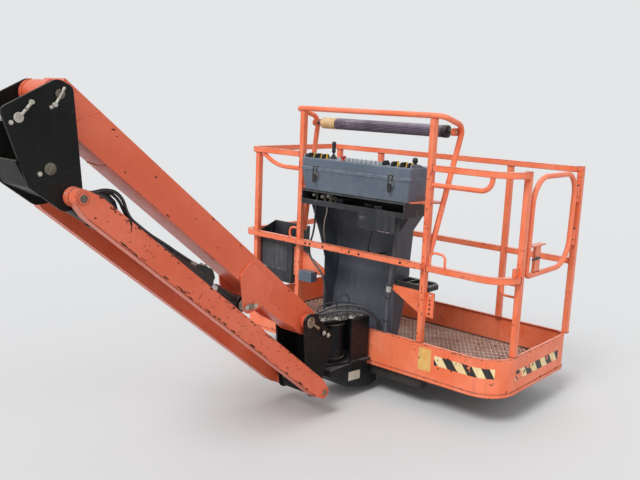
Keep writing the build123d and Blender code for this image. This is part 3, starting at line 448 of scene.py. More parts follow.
def plate(shell, place, axis, outline, thick):
    """Add a plate square to an axis: outline along the other two, depth along it, in millimetres."""
    across = [k for k in range(3) if k != axis]
    corners = []
    for pair in outline:
        corner = Vector(place)
        for k, value in zip(across, pair):
            corner[k] += value
        corners.append(corner / 1000)
    depth = Vector((0, 0, 0))
    depth[axis] = thick / 1000
    prism(shell, corners, depth)


def bar_between(shell, start, end, profile, sides=16):
    """Add a turned bar from one place to another: (radius, share of the length) pairs."""
    span = (end - start).length * 1000
    turned(shell, start, end - start, [(radius, share * span) for radius, share in profile], sides)


def wire(shell, path, radius, sides=8):
    """Add a bent wire along a path of places, rounded at its corners."""
    line = [path[0]]
    for before, here, after in zip(path, path[1:], path[2:]):
        corner = here.lerp(before, 0.1).lerp(here.lerp(after, 0.1), 0.5)
        line += [here.lerp(before, 0.3), corner, here.lerp(after, 0.3)]
    line.append(path[-1])
    side = (line[1] - line[0]).orthogonal().normalized()
    rings = []
    for k, here in enumerate(line):
        ahead = (line[min(k + 1, len(line) - 1)] - line[max(k - 1, 0)]).normalized()
        side = (side - ahead * side.dot(ahead)).normalized()
        across = ahead.cross(side)
        angles = [math.tau * j / sides for j in range(sides)]
        rings.append([shell.verts.new(
            here + (side * math.cos(a) + across * math.sin(a)) * radius / 1000) for a in angles])
    for low, high in zip(rings, rings[1:]):
        for j in range(sides):
            shell.faces.new((low[j], low[(j + 1) % sides], high[(j + 1) % sides], high[j]))
    shell.faces.new(list(reversed(rings[0])))
    shell.faces.new(rings[-1])


def piece(name, shell, material, body, broken=0.0, turn=40):
    """Close a modelled piece, break its sharp edges, finish it and hang it on its body."""
    bmesh.ops.remove_doubles(shell, verts=shell.verts, dist=1e-6)
    bmesh.ops.recalc_face_normals(shell, faces=shell.faces)
    if broken:
        sharp = [
            edge for edge in shell.edges
            if edge.is_manifold and edge.calc_face_angle(0) > math.radians(turn)]
        bmesh.ops.bevel(
            shell, geom=sharp, offset=broken / 1000, segments=2, profile=0.7, affect="EDGES",
            clamp_overlap=True)
    data = bpy.data.meshes.new(name)
    shell.to_mesh(data)
    shell.free()
    data.materials.append(material)
    data.polygons.foreach_set("use_smooth", [True] * len(data.polygons))
    data.set_sharp_from_angle(angle=math.radians(turn))
    made = bpy.data.objects.new(name, data)
    bpy.context.scene.collection.objects.link(made)
    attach(made, body)
    return made


plated = coated(
    "plated_steel", "steel", (0.34, 0.31, 0.25), (0.46, 0.43, 0.37), under=(0.10, 0.06, 0.03),
    scuffed=(0.55, 0.53, 0.48), blotches=40, chips=0.25, edge_wear=0.8, pale_edges=0.8, dusty=0.1,
    roughness=0.36, edge_reach=0.002, gloss=0.8)
plate_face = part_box("bracket_plate_near")[1].x * 1000


def pin_profile(radius, half):
    """Turned pin with chamfered ends and a centre mark in each, as radii and places along it."""
    end = ((0, 4.5), (2.4, 3), (3, 0), (radius - 2.2, 0), (radius, 2.2))
    return [(r, inset - half) for r, inset in end] + [(r, half - inset) for r, inset in reversed(end)]


pin_overhang = 6
shell = bmesh.new()
turned(shell, Vector((0, 0, 0)), (1, 0, 0), pin_profile(17.9, plate_face + pin_overhang), 32)
piece("boom_pin", shell, plated, "bracket")


def keeper(shell, side, start, end, radius):
    """Round keeper bar across a pin's end, with the round screw head that holds it at its start."""
    low, high = (at(side * (plate_face + 6), y, z) for y, z in (start, end))
    bar_between(shell, low, high, (
        (0, 0), (radius * 0.7, 0.0), (radius, 0.02), (radius, 0.98), (radius * 0.7, 1.0), (0, 1.0)))
    turned(shell, at(side * plate_face, *start), (side, 0, 0), (
        (0, 0), (9, 0), (9, 2), (7.5, 2.2), (7.5, 11), (6.5, 12), (0, 12)), 20)


shell = bmesh.new()
for side in (1, -1):
    keeper(shell, side, (47, 52), (6, 7), 5.5)
    keeper(shell, side, (133, 44), (171, 106), 5.0)
    for y, z, size in ((-27, -17, 6), (72, -194, 6.5), (121, 36, 4.5)):
        turned(shell, at(side * plate_face, y, z), (side, 0, 0), (
            (0, 0), (size + 3, 0), (size + 3, 1.6), (size, 1.8), (size, 7), (size - 1, 8), (0, 8)), 6)
piece("bracket_keepers", shell, plated, "bracket")

pivot_steel = coated(
    "pivot_steel", "steel", (0.16, 0.13, 0.09), (0.25, 0.21, 0.16), under=(0.05, 0.025, 0.012),
    scuffed=(0.38, 0.35, 0.30), blotches=55, chips=0.4, edge_wear=0.9, pale_edges=0.8, dusty=0.15,
    roughness=0.45, edge_reach=0.002, gloss=0.6)
soften("lug_pin_heads", pivot_steel, 0.0015)
worn_steel = coated(
    "worn_steel", "steel", (0.075, 0.058, 0.042), (0.16, 0.13, 0.10), under=(0.018, 0.012, 0.009),
    scuffed=(0.30, 0.28, 0.25), blotches=60, chips=0.5, pale_edges=0.8, roughness=0.5, edge_reach=0.003,
    gloss=0.4)
round_bar = ((0, 0), (3, 0), (3, 1), (0, 1))
levelling_bore = (112, -178)
shell = bmesh.new()
turned(shell, at(0, *levelling_bore), (1, 0, 0), pin_profile(16.9, plate_face + pin_overhang), 32)
for side in (1, -1):
    turned(
        shell, at(side * plate_face, *levelling_bore), (side, 0, 0),
        ((17, 0), (22, 0), (22, 3), (20.5, 4), (17, 4)), 32)
    x = side * (plate_face + 4)
    bar_between(shell, at(x, 121, -163), at(x, 103, -193), round_bar, 10)
piece("levelling_pin", shell, worn_steel, "bracket")
soften("bracket_pins", worn_steel, 0.0015)

rusted_pin = coated(
    "rusted_pin", "steel", (0.13, 0.075, 0.04), (0.26, 0.20, 0.15), under=(0.03, 0.014, 0.008),
    scuffed=(0.42, 0.40, 0.36), blotches=45, chips=0.5, roughness=0.6, edge_reach=0.002)
soften("head_pins", rusted_pin, 0.0015)

# Jib tube: four plates welded into a box, with a bearing barrel at each end, in sun-faded orange enamel.
# Stones and chain have chipped it here and there down to dark rust.
orange_fresh = (0.67, 0.108, 0.042)
orange_faded = (0.74, 0.155, 0.078)
orange_scuffed = (0.80, 0.33, 0.21)
jib_enamel = coated(
    "jib_enamel", "jib_orange", orange_fresh, orange_faded, scuffed=orange_scuffed, blotches=2.4,
    chips=0.07, pale_edges=0.6, streaks=0.05, dusty=0.1, roughness=0.33, edge_reach=0.007)
soften("jib_tube", jib_enamel, 0.004)
tube_along = (pivots["head_level"] - pivots["jib_lift"]).normalized()
tube_above = Vector((0, -tube_along.z, tube_along.y))
tube_side = 70


def on_tube(along, above, x=tube_side):
    """Place on the jib tube in millimetres: along it from its pivot, above its middle and across."""
    return pivots["jib_lift"] + (tube_along * along + tube_above * above + Vector((x, 0, 0))) / 1000


def grown(name, seed, tree, values, material, body):
    """Piece that a node tree grows on a seed mesh, turned into a plain mesh and hung on its body."""
    made = bpy.data.objects.new(name, seed)
    bpy.context.scene.collection.objects.link(made)
    grower = made.modifiers.new("grower", "NODES")
    grower.node_group = tree
    sockets = {
        item.name: item.identifier for item in tree.interface.items_tree if item.in_out == "INPUT"}
    for key, value in (*values.items(), ("Finish", material)):
        grower[sockets[key]] = value
    bpy.context.view_layer.update()
    graph = bpy.context.evaluated_depsgraph_get()
    plain_mesh = bpy.data.meshes.new_from_object(made.evaluated_get(graph), depsgraph=graph)
    made.modifiers.clear()
    made.data = plain_mesh
    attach(made, body)
    return made


def new_tree(name, inputs):
    """Empty node tree that takes a mesh, named sizes and a finish, and the short calls that fill it."""
    tree = bpy.data.node_groups.new(name, "GeometryNodeTree")
    tree.interface.new_socket("Geometry", in_out="INPUT", socket_type="NodeSocketGeometry")
    for key, value in inputs:
        kind = "NodeSocketInt" if isinstance(value, int) else "NodeSocketFloat"
        tree.interface.new_socket(key, in_out="INPUT", socket_type=kind).default_value = value
    tree.interface.new_socket("Finish", in_out="INPUT", socket_type="NodeSocketMaterial")
    tree.interface.new_socket("Geometry", in_out="OUTPUT", socket_type="NodeSocketGeometry")
    given = tree.nodes.new("NodeGroupInput").outputs
    return tree, partial(add_node, tree), partial(reckon, tree), given


def grown_out(tree, given, instances, shading=None):
    """End of a growing tree: its instances made real, shaded smooth or flat, and given their finish."""
    solid = add_node(tree, "GeometryNodeRealizeInstances", {"Geometry": instances})
    if shading is not None:
        solid = add_node(
            tree, "GeometryNodeSetShadeSmooth", {"Geometry": solid, "Shade Smooth": shading})
    painted = add_node(tree, "GeometryNodeSetMaterial", {"Geometry": solid, "Material": given["Finish"]})
    add_node(tree, "NodeGroupOutput", {"Geometry": painted})
    return tree


def weld_tree():
    """Weld bead: overlapping ripples laid along the edges of the seed."""
    tree, node, _, given = new_tree("weld_bead", (("Pitch", 0.005), ("Width", 0.004)))
    line = node("GeometryNodeMeshToCurve", {"Mesh": given["Geometry"]})
    steps = node("GeometryNodeCurveToPoints", {"Curve": line, "Length": given["Pitch"]}, mode="LENGTH")
    drop = node("GeometryNodeMeshIcoSphere", {"Radius": given["Width"], "Subdivisions": 1})
    flat = node("GeometryNodeTransform", {"Geometry": drop, "Scale": (0.8, 0.8, 1.1)})
    laid = node("GeometryNodeInstanceOnPoints", {
        "Points": steps, "Instance": flat, "Rotation": steps.outputs["Rotation"]})
    return grown_out(tree, given, laid, shading=True)


weld_bead = weld_tree()


def lines(name, paths):
    """Seed mesh of open paths, one edge between each two places."""
    seed = bpy.data.meshes.new(name)
    places = [place for path in paths for place in path]
    edges = []
    start = 0
    for path in paths:
        edges += [(start + k, start + k + 1) for k in range(len(path) - 1)]
        start += len(path)
    seed.from_pydata(places, edges, [])
    return seed


def welded(name, paths, material, body, width=0.0035):
    """Weld beads along paths, in the paint of the piece that they join."""
    return grown(
        name, lines(name, paths), weld_bead, {"Pitch": width * 1.25, "Width": width}, material, body)


def ring_path(place, radius, normal=(1, 0, 0), steps=36, start=0.0, sweep=360.0):
    """Places round an arc, in millimetres round a place in the frame."""
    turn = Vector(normal).to_track_quat("Z", "Y").to_matrix()
    angles = [math.radians(start + sweep * k / steps) for k in range(steps + 1)]
    return [place + turn @ Vector((math.cos(a), math.sin(a), 0)) * radius / 1000 for a in angles]


jib_welds = []
for side in (1, -1):
    for run in (
            ((180, 69), (152, 30), (130, -12), (118, -69)),
            ((1203, -69), (1222, 34), (1428, 40), (1444, -69))):
        jib_welds.append([on_tube(*place, side * tube_side) for place in run])
    barrel_face = on_tube(0, 0, side * (tube_side + 1))
    jib_welds.append(ring_path(barrel_face, 50, steps=30, start=100, sweep=170))
jib_welds.append([on_tube(330, -71, -68), on_tube(342, -71, 0), on_tube(330, -71, 68)])
welded("jib_welds", jib_welds, jib_enamel, "jib", 0.0026)


def screw_tree():
    """Hex-head screws with washers, one on each point of the seed, facing the way the point says."""
    sizes = (("Flats", 0.013), ("Height", 0.006), ("Washer", 0.012))
    tree, node, reckoned, given = new_tree("hex_screws", sizes)
    bore = reckoned("MULTIPLY", given["Flats"], 0.577)
    head = node("GeometryNodeMeshCylinder", {
        "Vertices": 6, "Radius": bore, "Depth": given["Height"]}, fill_type="TRIANGLE_FAN")
    crown = node("GeometryNodeMeshCone", {
        "Vertices": 6, "Radius Top": reckoned("MULTIPLY", bore, 0.78), "Radius Bottom": bore,
        "Depth": reckoned("MULTIPLY", given["Height"], 0.2)})
    lifts = []
    for source, share in ((head, 0.5), (crown, 1.0)):
        lift = node("ShaderNodeCombineXYZ", {"Z": reckoned("MULTIPLY", given["Height"], share)})
        lifts.append(node("GeometryNodeTransform", {"Geometry": source, "Translation": lift}))
    washer = node("GeometryNodeMeshCylinder", {
        "Vertices": 20, "Radius": given["Washer"], "Depth": reckoned("MULTIPLY", given["Height"], 0.3)})
    together = node("GeometryNodeJoinGeometry")
    for source in (*lifts, washer):
        tree.links.new(source.outputs[0], together.inputs[0])
    facing = node("GeometryNodeInputNamedAttribute", {"Name": "facing"}, data_type="FLOAT_VECTOR")
    turn = node("FunctionNodeAlignRotationToVector", {"Vector": facing.outputs["Attribute"]}, axis="Z")
    placed = node("GeometryNodeInstanceOnPoints", {
        "Points": given["Geometry"], "Instance": together, "Rotation": turn})
    return grown_out(tree, given, placed)


hex_screws = screw_tree()


def screwed(name, places, material, body, flats=13, height=6):
    """Hex screws at (place, facing) pairs, across flats and height in millimetres."""
    seed = bpy.data.meshes.new(name)
    seed.from_pydata([place for place, facing in places], [], [])
    way = seed.attributes.new("facing", "FLOAT_VECTOR", "POINT")
    way.data.foreach_set("vector", [value for place, facing in places for value in facing])
    return grown(name, seed, hex_screws, {
        "Flats": flats / 1000, "Height": height / 1000, "Washer": flats * 0.95 / 1000}, material, body)


# Chips knocked out of the enamel: small ragged scars where the photograph shows them,
# each a thin flake of dark rust.
scar_rust = coated(
    "scar_rust", "steel", (0.025, 0.013, 0.009), (0.06, 0.028, 0.016), under=(0.01, 0.007, 0.006),
    blotches=60, chips=0.2, edge_wear=0.0, pale_edges=0.0, dusty=0.0, roughness=0.75, gloss=0.2)


def scars(name, marks, place_on, facing, body, seed):
    """Ragged flat scars: (along, above, length, width, turn in degrees) in millimetres on one face."""
    chance = random.Random(seed)
    shell = bmesh.new()
    for along, above, length, width, turn in marks:
        count = 9 if length < 14 else 16
        angle = math.radians(turn)
        rim = []
        for k in range(count):
            way = math.tau * k / count
            grow = chance.uniform(0.6, 1.15)
            a = math.cos(way) * length / 2 * grow
            b = math.sin(way) * width / 2 * grow
            rim.append((
                along + a * math.cos(angle) - b * math.sin(angle),
                above + a * math.sin(angle) + b * math.cos(angle)))
        centre = shell.verts.new(place_on(along, above) + facing * 0.00045)
        ring = [shell.verts.new(place_on(*corner) + facing * 0.0003) for corner in rim]
        base = [shell.verts.new(place_on(*corner) - facing * 0.0004) for corner in rim]
        for k in range(count):
            after = (k + 1) % count
            shell.faces.new((centre, ring[k], ring[after]))
            shell.faces.new((ring[k], base[k], base[after], ring[after]))
    piece(name, shell, scar_rust, body)


outward = Vector((1, 0, 0))
scars("tube_scars", (
    (410, -45, 12, 9, 20), (541, 27, 14, 8, 60), (1549, 60, 11, 10, 0), (1548, -47, 11, 10, 0),
    (690, -62, 26, 6, 6), (905, 63, 20, 6, 0), (1010, -20, 10, 7, 40), (1120, 58, 16, 6, -10),
    (820, 8, 9, 6, 30), (1660, 20, 14, 7, 70), (268, 52, 22, 7, 35), (296, 40, 9, 7, 0),
    (1330, -58, 24, 5, 3)), on_tube, outward, "jib", 3)

# Cylinder lugs and their pin: cheeks cut from plate and welded to the tube's sides.
# The pin that the cylinder's rod pulls on is kept by a bar with two screws at each end.
soften("cylinder_lugs", jib_enamel, 0.0015)
closed_length = 1.09567
lug_pin = pivots["cylinder_swing"] + cylinder_along * closed_length
lug_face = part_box("lug_pin_heads")[1].x
keeper_thick = 5
shell = bmesh.new()
for side in (1, -1):
    plate(shell, (side * lug_face * 1000, *lug_pin.yz * 1000), 0, (
        (-40, -9), (40, -7), (42, 7), (38, 10), (-38, 8), (-42, 5)), side * keeper_thick)
piece("lug_keepers", shell, pivot_steel, "jib", broken=1.0)
lug_screws = []
for side in (1, -1):
    for y in (-0.028, 0.028):
        place = Vector((side * (lug_face + keeper_thick / 1000), lug_pin.y + y, lug_pin.z + 0.001))
        lug_screws.append((place, (side, 0, 0)))
screwed("lug_screws", lug_screws, plated, "jib", 13, 6)

# Lower links: folded channel closed by a welded strip, whose seam along the lower edge is a darker orange as
# painted shade, chipped and streaked with rust.
# They ride outside the plates on the lower pins, with a nut over a washer at each end.
link_enamel = coated(
    "link_enamel", "jib_orange", orange_fresh, orange_faded, scuffed=orange_scuffed, blotches=3.0,
    chips=0.09, edge_wear=1.8, pale_edges=0.7, streaks=0.06, dusty=0.15, scratches=0.9, roughness=0.36,
    edge_reach=0.009, gloss=0.45)
for node in ("link_near", "link_far"):
    soften(node, link_enamel, 0.003)
link_face = 180


def on_link(along, above, x=link_face):
    """Place on a lower link in millimetres: along it from its pin, above its middle and across."""
    return pivots["link_follow"] + (tube_along * along + tube_above * above + Vector((x, 0, 0))) / 1000


link_length = (pivots["head_level"] - pivots["jib_lift"]).length * 1000
# The seam bead's darker orange is painted shade along the links' lower edge.
seam_painted_shade = coated(
    "seam_painted_shade", "jib_orange", (0.30, 0.05, 0.022), (0.60, 0.11, 0.05), under=(0.02, 0.011, 0.008),
    blotches=22, chips=0.6, edge_wear=0.0, pale_edges=0.0, streaks=0.6, dusty=0.1, roughness=0.7)
seam_places = (62, link_length / 2, link_length - 62)
seams = [[on_link(along, -46.5, side * link_face) for along in seam_places] for side in (1, -1)]
welded("link_seams", seams, seam_painted_shade, "links", 0.0022)
upper_knocks = (
    (110, 7, 40), (225, 9, 60), (330, 3, 30), (470, 4, 60), (700, 6, 60), (905, 3, 30), (1040, 5, 60),
    (1240, 7, 50), (1420, 4, 60), (1600, 4, 50))
lower_knocks = (
    (330, 6, 80), (560, 5, 50), (800, 8, 70), (985, 5, 40), (1190, 7, 70), (1400, 6, 60), (1580, 4, 50))
chance = random.Random(11)
marks = []
for centre, count, spread in upper_knocks:
    marks += [(
        centre + chance.gauss(0, spread), chance.uniform(38, 47), chance.uniform(5, 24),
        chance.uniform(3, 8), chance.uniform(-25, 25)) for k in range(count)]
for centre, count, spread in lower_knocks:
    marks += [(
        centre + chance.gauss(0, spread), chance.uniform(-46, -38), chance.uniform(8, 46),
        chance.uniform(3, 9), chance.uniform(-5, 5)) for k in range(count)]
marks += [(
    chance.uniform(120, 1600), chance.uniform(-34, 36), chance.uniform(4, 11), chance.uniform(3, 6),
    chance.uniform(0, 180)) for k in range(26)]
marks += [
    (981, 3, 15, 3, 20), (1024, 7, 13, 3, 15), (1089, -3, 16, 3, 35), (1171, -2, 14, 3, 30),
    (1227, 0, 13, 3, 20), (1296, 14, 8, 3, 60), (1417, -19, 13, 8, 10), (238, 27, 42, 5, -62),
    (222, 43, 16, 7, 10), (708, -10, 40, 3, 84), (803, 40, 30, 4, 80), (332, 2, 22, 1.6, 78),
    (352, -2, 20, 1.6, 82), (372, 0, 16, 1.6, 74), (392, -5, 18, 1.8, 80), (610, 22, 26, 2, 12),
    (640, -30, 30, 4, 4), (890, 30, 40, 2, -5), (1490, 8, 18, 3, 40), (84, -28, 12, 8, 0)]
scars("link_scars", marks, on_link, outward, "links", 5)
shell = bmesh.new()
for along in (0, link_length):
    for side in (1, -1):
        turned(
            shell, on_link(along, 0, side * link_face), (side, 0, 0),
            ((15.5, 0), (24, 0), (24, 2.4), (22.5, 3), (15.5, 3)), 32)
piece("link_washers", shell, link_enamel, "links")
nipple = ((0, 0), (4.5, 0), (4.5, 6), (3, 7), (3, 10), (4, 11), (2.5, 14), (0, 14))
shell = bmesh.new()
for along, above, out, way, rise in ((-26, -8, 0.2, -0.7, 0.35), (link_length + 14, -30, 0, 0.2, -1)):
    for side in (1, -1):
        turned(shell, on_link(along, above, side * 119), (side * out, way, rise), nipple, 6)
piece("link_nipples", shell, plated, "links")

# Lift cylinder: honed tube painted black, with a gland and a valve block at its head, and a chromed rod
# that ends in a forged eye. Its two hoses run along the barrel under a flap of rubber.
cylinder_black = coated(
    "cylinder_black", "black_paint", (0.010, 0.010, 0.011), (0.022, 0.022, 0.023),
    under=(0.08, 0.07, 0.06), scuffed=(0.05, 0.05, 0.05), chips=0.08, dusty=0.4, edge_reach=0.003,
    gloss=0.35)
for node in ("cylinder_barrel", "rod_end"):
    soften(node, cylinder_black, 0.0015)
chrome = coated(
    "chromed_rod", "chrome", (0.62, 0.63, 0.65), (0.56, 0.57, 0.59), under=(0.3, 0.28, 0.25), chips=0.03,
    edge_wear=0.0, pale_edges=0.0, dusty=0.05, streaks=0.1, roughness=0.14, grain=0.1, gloss=1.0)
soften("cylinder_rod", chrome, 0)
top_end = ((0, 0), (10, 0), (10, 9), (8.8, 10), (8.8, 30), (8, 32), (0, 32))
base_end = ((0, 0), (9, 0), (9, 8), (8.4, 9), (8.4, 20), (7.6, 22), (0, 22))
shell = bmesh.new()
for x in (0, -16):
    turned(shell, on_cylinder(757.7, 49.3, x), -cylinder_along, top_end, 6)
for above, x in ((58, 0), (42, -28)):
    turned(shell, on_cylinder(72.3, above, x), cylinder_along, base_end, 6)
turned(
    shell, on_cylinder(58, 42, -28), cylinder_above, ((0, -8), (10, -8), (10, 9), (8, 11), (0, 11)), 20)
turned(shell, on_cylinder(72.3, 42, -28), -cylinder_along, ((0, 0), (7, 0), (7, 14), (0, 14)), 20)
piece("hose_ends", shell, plated, "cylinder")
shell = bmesh.new()
for along, thick in ((862, 6), (868.6, 3)):
    turned(shell, on_cylinder(along, 0), cylinder_along, (
        (20.4, 0), (33, 0), (34, 1), (34, thick - 1), (33, thick), (20.4, thick)), 40)
piece("rod_wiper", shell, rubber, "cylinder")
flap = (
    (104, 40), (136, 68), (178, 101), (222, 114), (268, 103), (300, 76), (340, 57), (390, 46), (390, 11),
    (104, 11))
shell = bmesh.new()
prism(shell, [on_cylinder(along, above, -45) for along, above in flap], Vector((0.008, 0, 0)))
piece("hose_flap", shell, rubber, "cylinder", broken=2.0)
valve_screws = [
    (on_cylinder(along, 64, x), cylinder_above) for along in (800, 838) for x in (-14, 14)]
screwed("valve_screws", valve_screws, plated, "cylinder", 13, 7)

# Head: two plates with a web between them, a pin at the tube and a bearing tube at the links.
# Its black paint is dusty, and the upper pin and its keeper have rusted.
head_black = coated(
    "head_black", "black_paint", (0.0045, 0.0048, 0.0050), (0.0095, 0.0095, 0.0098), under=grey_edge,
    scuffed=(0.07, 0.065, 0.06), blotches=5, chips=0.05, edge_wear=0.9, dusty=0.55, streaks=0.06,
    scratches=0.5, roughness=0.42, edge_reach=0.004, gloss=0.14)
for node in ("head_plate_near", "head_plate_far", "head_web", "rotator_housing"):
    soften(node, head_black, 0.0014)
rusted = coated(
    "rusted_keeper", "steel", (0.20, 0.11, 0.055), (0.34, 0.27, 0.20), under=(0.04, 0.018, 0.009),
    scuffed=(0.5, 0.46, 0.4), blotches=60, chips=0.5, edge_wear=0.9, roughness=0.62, edge_reach=0.002)
tube_end = pivots["head_level"] * 1000
shell = bmesh.new()
for side in (1, -1):
    keeper(shell, side, (tube_end.y + 50, tube_end.z - 37), (tube_end.y + 8, tube_end.z - 6), 5.5)
    turned(
        shell, at(side * plate_face, *tube_end.yz), (side, 0, 0),
        ((17, 0), (28, 0), (28, 3), (26, 4.5), (17, 4.5)), 32)
piece("head_keepers", shell, rusted, "head")
tab_thick = 6
shell = bmesh.new()
for side in (1, -1):
    plate(shell, (side * plate_face, *tube_end.yz), 0, (
        (84, -58), (150, -92), (150, -104), (140, -112), (84, -80)), side * tab_thick)
piece("head_tabs", shell, head_black, "head", broken=1.2)
head_screws = []
for side in (1, -1):
    for y, z in ((100, -74), (134, -93)):
        place = at(side * (plate_face + tab_thick), tube_end.y + y, tube_end.z + z)
        head_screws.append((place, (side, 0, 0)))
screwed("head_screws", head_screws, plated, "head", 13, 7)
web_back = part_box("head_web")[1].y * 1000
head_welds = []
for side in (1, -1):
    head_welds.append([at(side * 92.5, web_back + 1, z) for z in (-1100, -1200, -1298)])
    head_welds.append(ring_path(at(side * 105.5, tube_end.y + 40, tube_end.z - 363), 36.5))
welded("head_welds", head_welds, head_black, "head", 0.0035)

# Rotator: cast worm housing bolted behind the web, in the head's black paint.
# A flange at its top and its foot is ringed with cap screws.
rotator = pivots["platform_rotate"]
housing_foot, housing_top = (corner.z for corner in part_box("rotator_housing"))
screw_circle = 0.058
shell = bmesh.new()
flange_screws = []
for level, way in ((housing_top, 1), (housing_foot, -1)):
    turned(shell, Vector((rotator.x, rotator.y, level - way * 0.016)), (0, 0, way), (
        (70, 0), (77, 1), (78, 3), (78, 11), (76, 13), (70, 13.6)), 64)
    for k in range(12):
        angle = math.tau * (k + 0.5) / 12
        place = Vector((
            rotator.x + screw_circle * math.cos(angle), rotator.y + screw_circle * math.sin(angle),
            level))
        flange_screws.append((place, (0, 0, way)))
piece("rotator_flanges", shell, head_black, "head")
screwed("flange_screws", flange_screws, head_black, "head", 9, 5)

# Carrier: C-shaped bracket of welded plates round the rotator, which the whole platform hangs on.
# Its black paint lies under dust, and dried mud has crumbled over its top plate.
carrier_black = coated(
    "carrier_black", "black_paint", (0.0048, 0.0050, 0.0054), (0.010, 0.010, 0.0108), under=grey_edge,
    scuffed=(0.05, 0.05, 0.05), dust=(0.17, 0.16, 0.155), blotches=9, chips=0.05, edge_wear=0.8,
    dusty=0.9, streaks=0.08, scratches=0.5, roughness=0.46, edge_reach=0.004, gloss=0.25)
for node in ("carrier", "carrier_base"):
    soften(node, carrier_black, 0.0018)
carrier_top = -1062
cheek = 110
shell = bmesh.new()
for side in (1, -1):
    for z in (-1119, -1171, -1223):
        turned(shell, at(side * (cheek - 10), 1885, z), (side, 0, 0), (
            (0, 0), (7.6, 0), (7.6, 7), (6.8, 8), (3.6, 8), (3.4, 4), (0, 4)), 16)
piece("cheek_screws", shell, cylinder_black, "platform")
top_screws = ((58, 1790), (-58, 1790), (98, 1868), (-98, 1900), (30, 1712))
carrier_screws = [(at(x, y, carrier_top), (0, 0, 1)) for x, y in top_screws]
screwed("carrier_screws", carrier_screws, plated, "platform", 15, 8)
carrier_welds = [
    [Vector((side * (cheek + 1) / 1000, y, z)) for y in (1.870, 1.940, 2.015)]
    for side in (1, -1) for z in (-1.0745, -1.3125)]
welded("carrier_welds", carrier_welds, carrier_black, "platform", 0.004)
shell = bmesh.new()
plate(shell, (104.5, 1862, -1370), 0, ((0, 0), (100, -8), (100, -58), (0, -50)), 1.5)
pale_plate = coated(
    "pale_plate", "steel", (0.46, 0.43, 0.34), (0.55, 0.52, 0.44), under=(0.08, 0.06, 0.04), blotches=30,
    chips=0.35, dusty=0.2, roughness=0.5, edge_reach=0.003)
piece("base_plate", shell, pale_plate, "platform", broken=0.4)

crumb_stone = coated(
    "dried_mud", "deck", (0.40, 0.37, 0.31), (0.58, 0.55, 0.48), under=(0.16, 0.13, 0.10), blotches=80,
    chips=0.3, edge_wear=0.0, pale_edges=0.0, dusty=0.2, roughness=0.9, gloss=0.15)


def crumb_tree():
    """Crumbs strewn on the seed's face: small uneven lumps of several sizes."""
    sizes = (("Density", 9000.0), ("Largest", 0.006), ("Seed", 4))
    tree, node, _, given = new_tree("strewn_crumbs", sizes)
    strewn = node("GeometryNodeDistributePointsOnFaces", {
        "Mesh": given["Geometry"], "Density": given["Density"], "Seed": given["Seed"]})
    lump = node("GeometryNodeMeshIcoSphere", {"Radius": given["Largest"], "Subdivisions": 1})
    size = node("FunctionNodeRandomValue", {2: 0.12, 3: 1.0, "Seed": given["Seed"]}, data_type="FLOAT")
    tall = node("ShaderNodeMath", {0: size.outputs[1], 1: 2.2}, operation="POWER")
    turn = node(
        "FunctionNodeRandomValue", {0: (-0.5, -0.5, 0), 1: (0.5, 0.5, 6.28)}, data_type="FLOAT_VECTOR")
    laid = node("GeometryNodeInstanceOnPoints", {
        "Points": strewn, "Instance": lump, "Rotation": turn, "Scale": tall})
    return grown_out(tree, given, laid)


strewn_crumbs = crumb_tree()


def strewn(name, outline, level, density, largest, seed_number, material, body):
    """Crumbs on a level patch: the patch's outline in millimetres and its height."""
    patch = bpy.data.meshes.new(name)
    patch.from_pydata([at(x, y, level) for x, y in outline], [], [range(len(outline))])
    return grown(name, patch, strewn_crumbs, {
        "Density": density, "Largest": largest / 1000, "Seed": seed_number}, material, body)


strewn("plate_crumbs", (
    (-72, 1748), (24, 1726), (96, 1800), (110, 1960), (30, 1990),
    (-80, 1880)), carrier_top, 3400.0, 5.5, 4, crumb_stone, "platform")

# Platform base: beams and floor frame under a folded toe board with a bead along its foot.
# The foot and the corners are scraped to rust, and the inside is rubbed pale by boots.
frame_fresh = (0.82, 0.165, 0.062)
frame_faded = (0.88, 0.235, 0.120)
frame_scuffed = (0.92, 0.50, 0.36)
toe_enamel = coated(
    "toe_enamel", "frame_orange", frame_fresh, frame_faded, scuffed=frame_scuffed, blotches=5,
    chips=0.12, edge_wear=1.9, pale_edges=0.8, streaks=0.14, dusty=0.15, scratches=1.0, edge_reach=0.010,
    gloss=0.45)
soften("toe_board", toe_enamel, 0.001)
dark_beam = coated(
    "dark_beam", "frame_orange", (0.10, 0.03, 0.018), (0.17, 0.05, 0.03), under=(0.03, 0.016, 0.01),
    blotches=9, chips=0.3, streaks=0.3, dusty=0.5, roughness=0.6)
soften("floor_frame", dark_beam, 0.001)
arm_black = coated(
    "arm_black", "black_paint", (0.012, 0.011, 0.011), (0.03, 0.025, 0.022), under=(0.07, 0.035, 0.02),
    blotches=8, chips=0.25, dusty=0.4, roughness=0.55)
soften("support_arms", arm_black, 0.002)
outer_x = 0.910
outer_y = 2.038
far_y = 2.849
gate_bend = 0.166
side_bend = 0.076


def toe_outline(grow, steps=10):
    """Plan of the toe board's outer face, counter-clockwise from the near left corner, in metres."""
    bends = (
        ((-outer_x + side_bend, outer_y + side_bend), side_bend, 180),
        ((outer_x - gate_bend, outer_y + gate_bend), gate_bend, 270),
        ((outer_x - side_bend, far_y - side_bend), side_bend, 0),
        ((-outer_x + side_bend, far_y - side_bend), side_bend, 90))
    path = []
    for (x, y), radius, first in bends:
        for k in range(steps + 1):
            angle = math.radians(first + 90 * k / steps)
            path.append((x + (radius + grow) * math.cos(angle), y + (radius + grow) * math.sin(angle)))
    return path


# Hazard tape on the toe board: stuck-on strips of slanted black and cream bars, torn by knocks.
# Beside it lies a blank yellow label, and the board's foot, rim and bend are chipped down to rust.
bar_pitch = 0.118


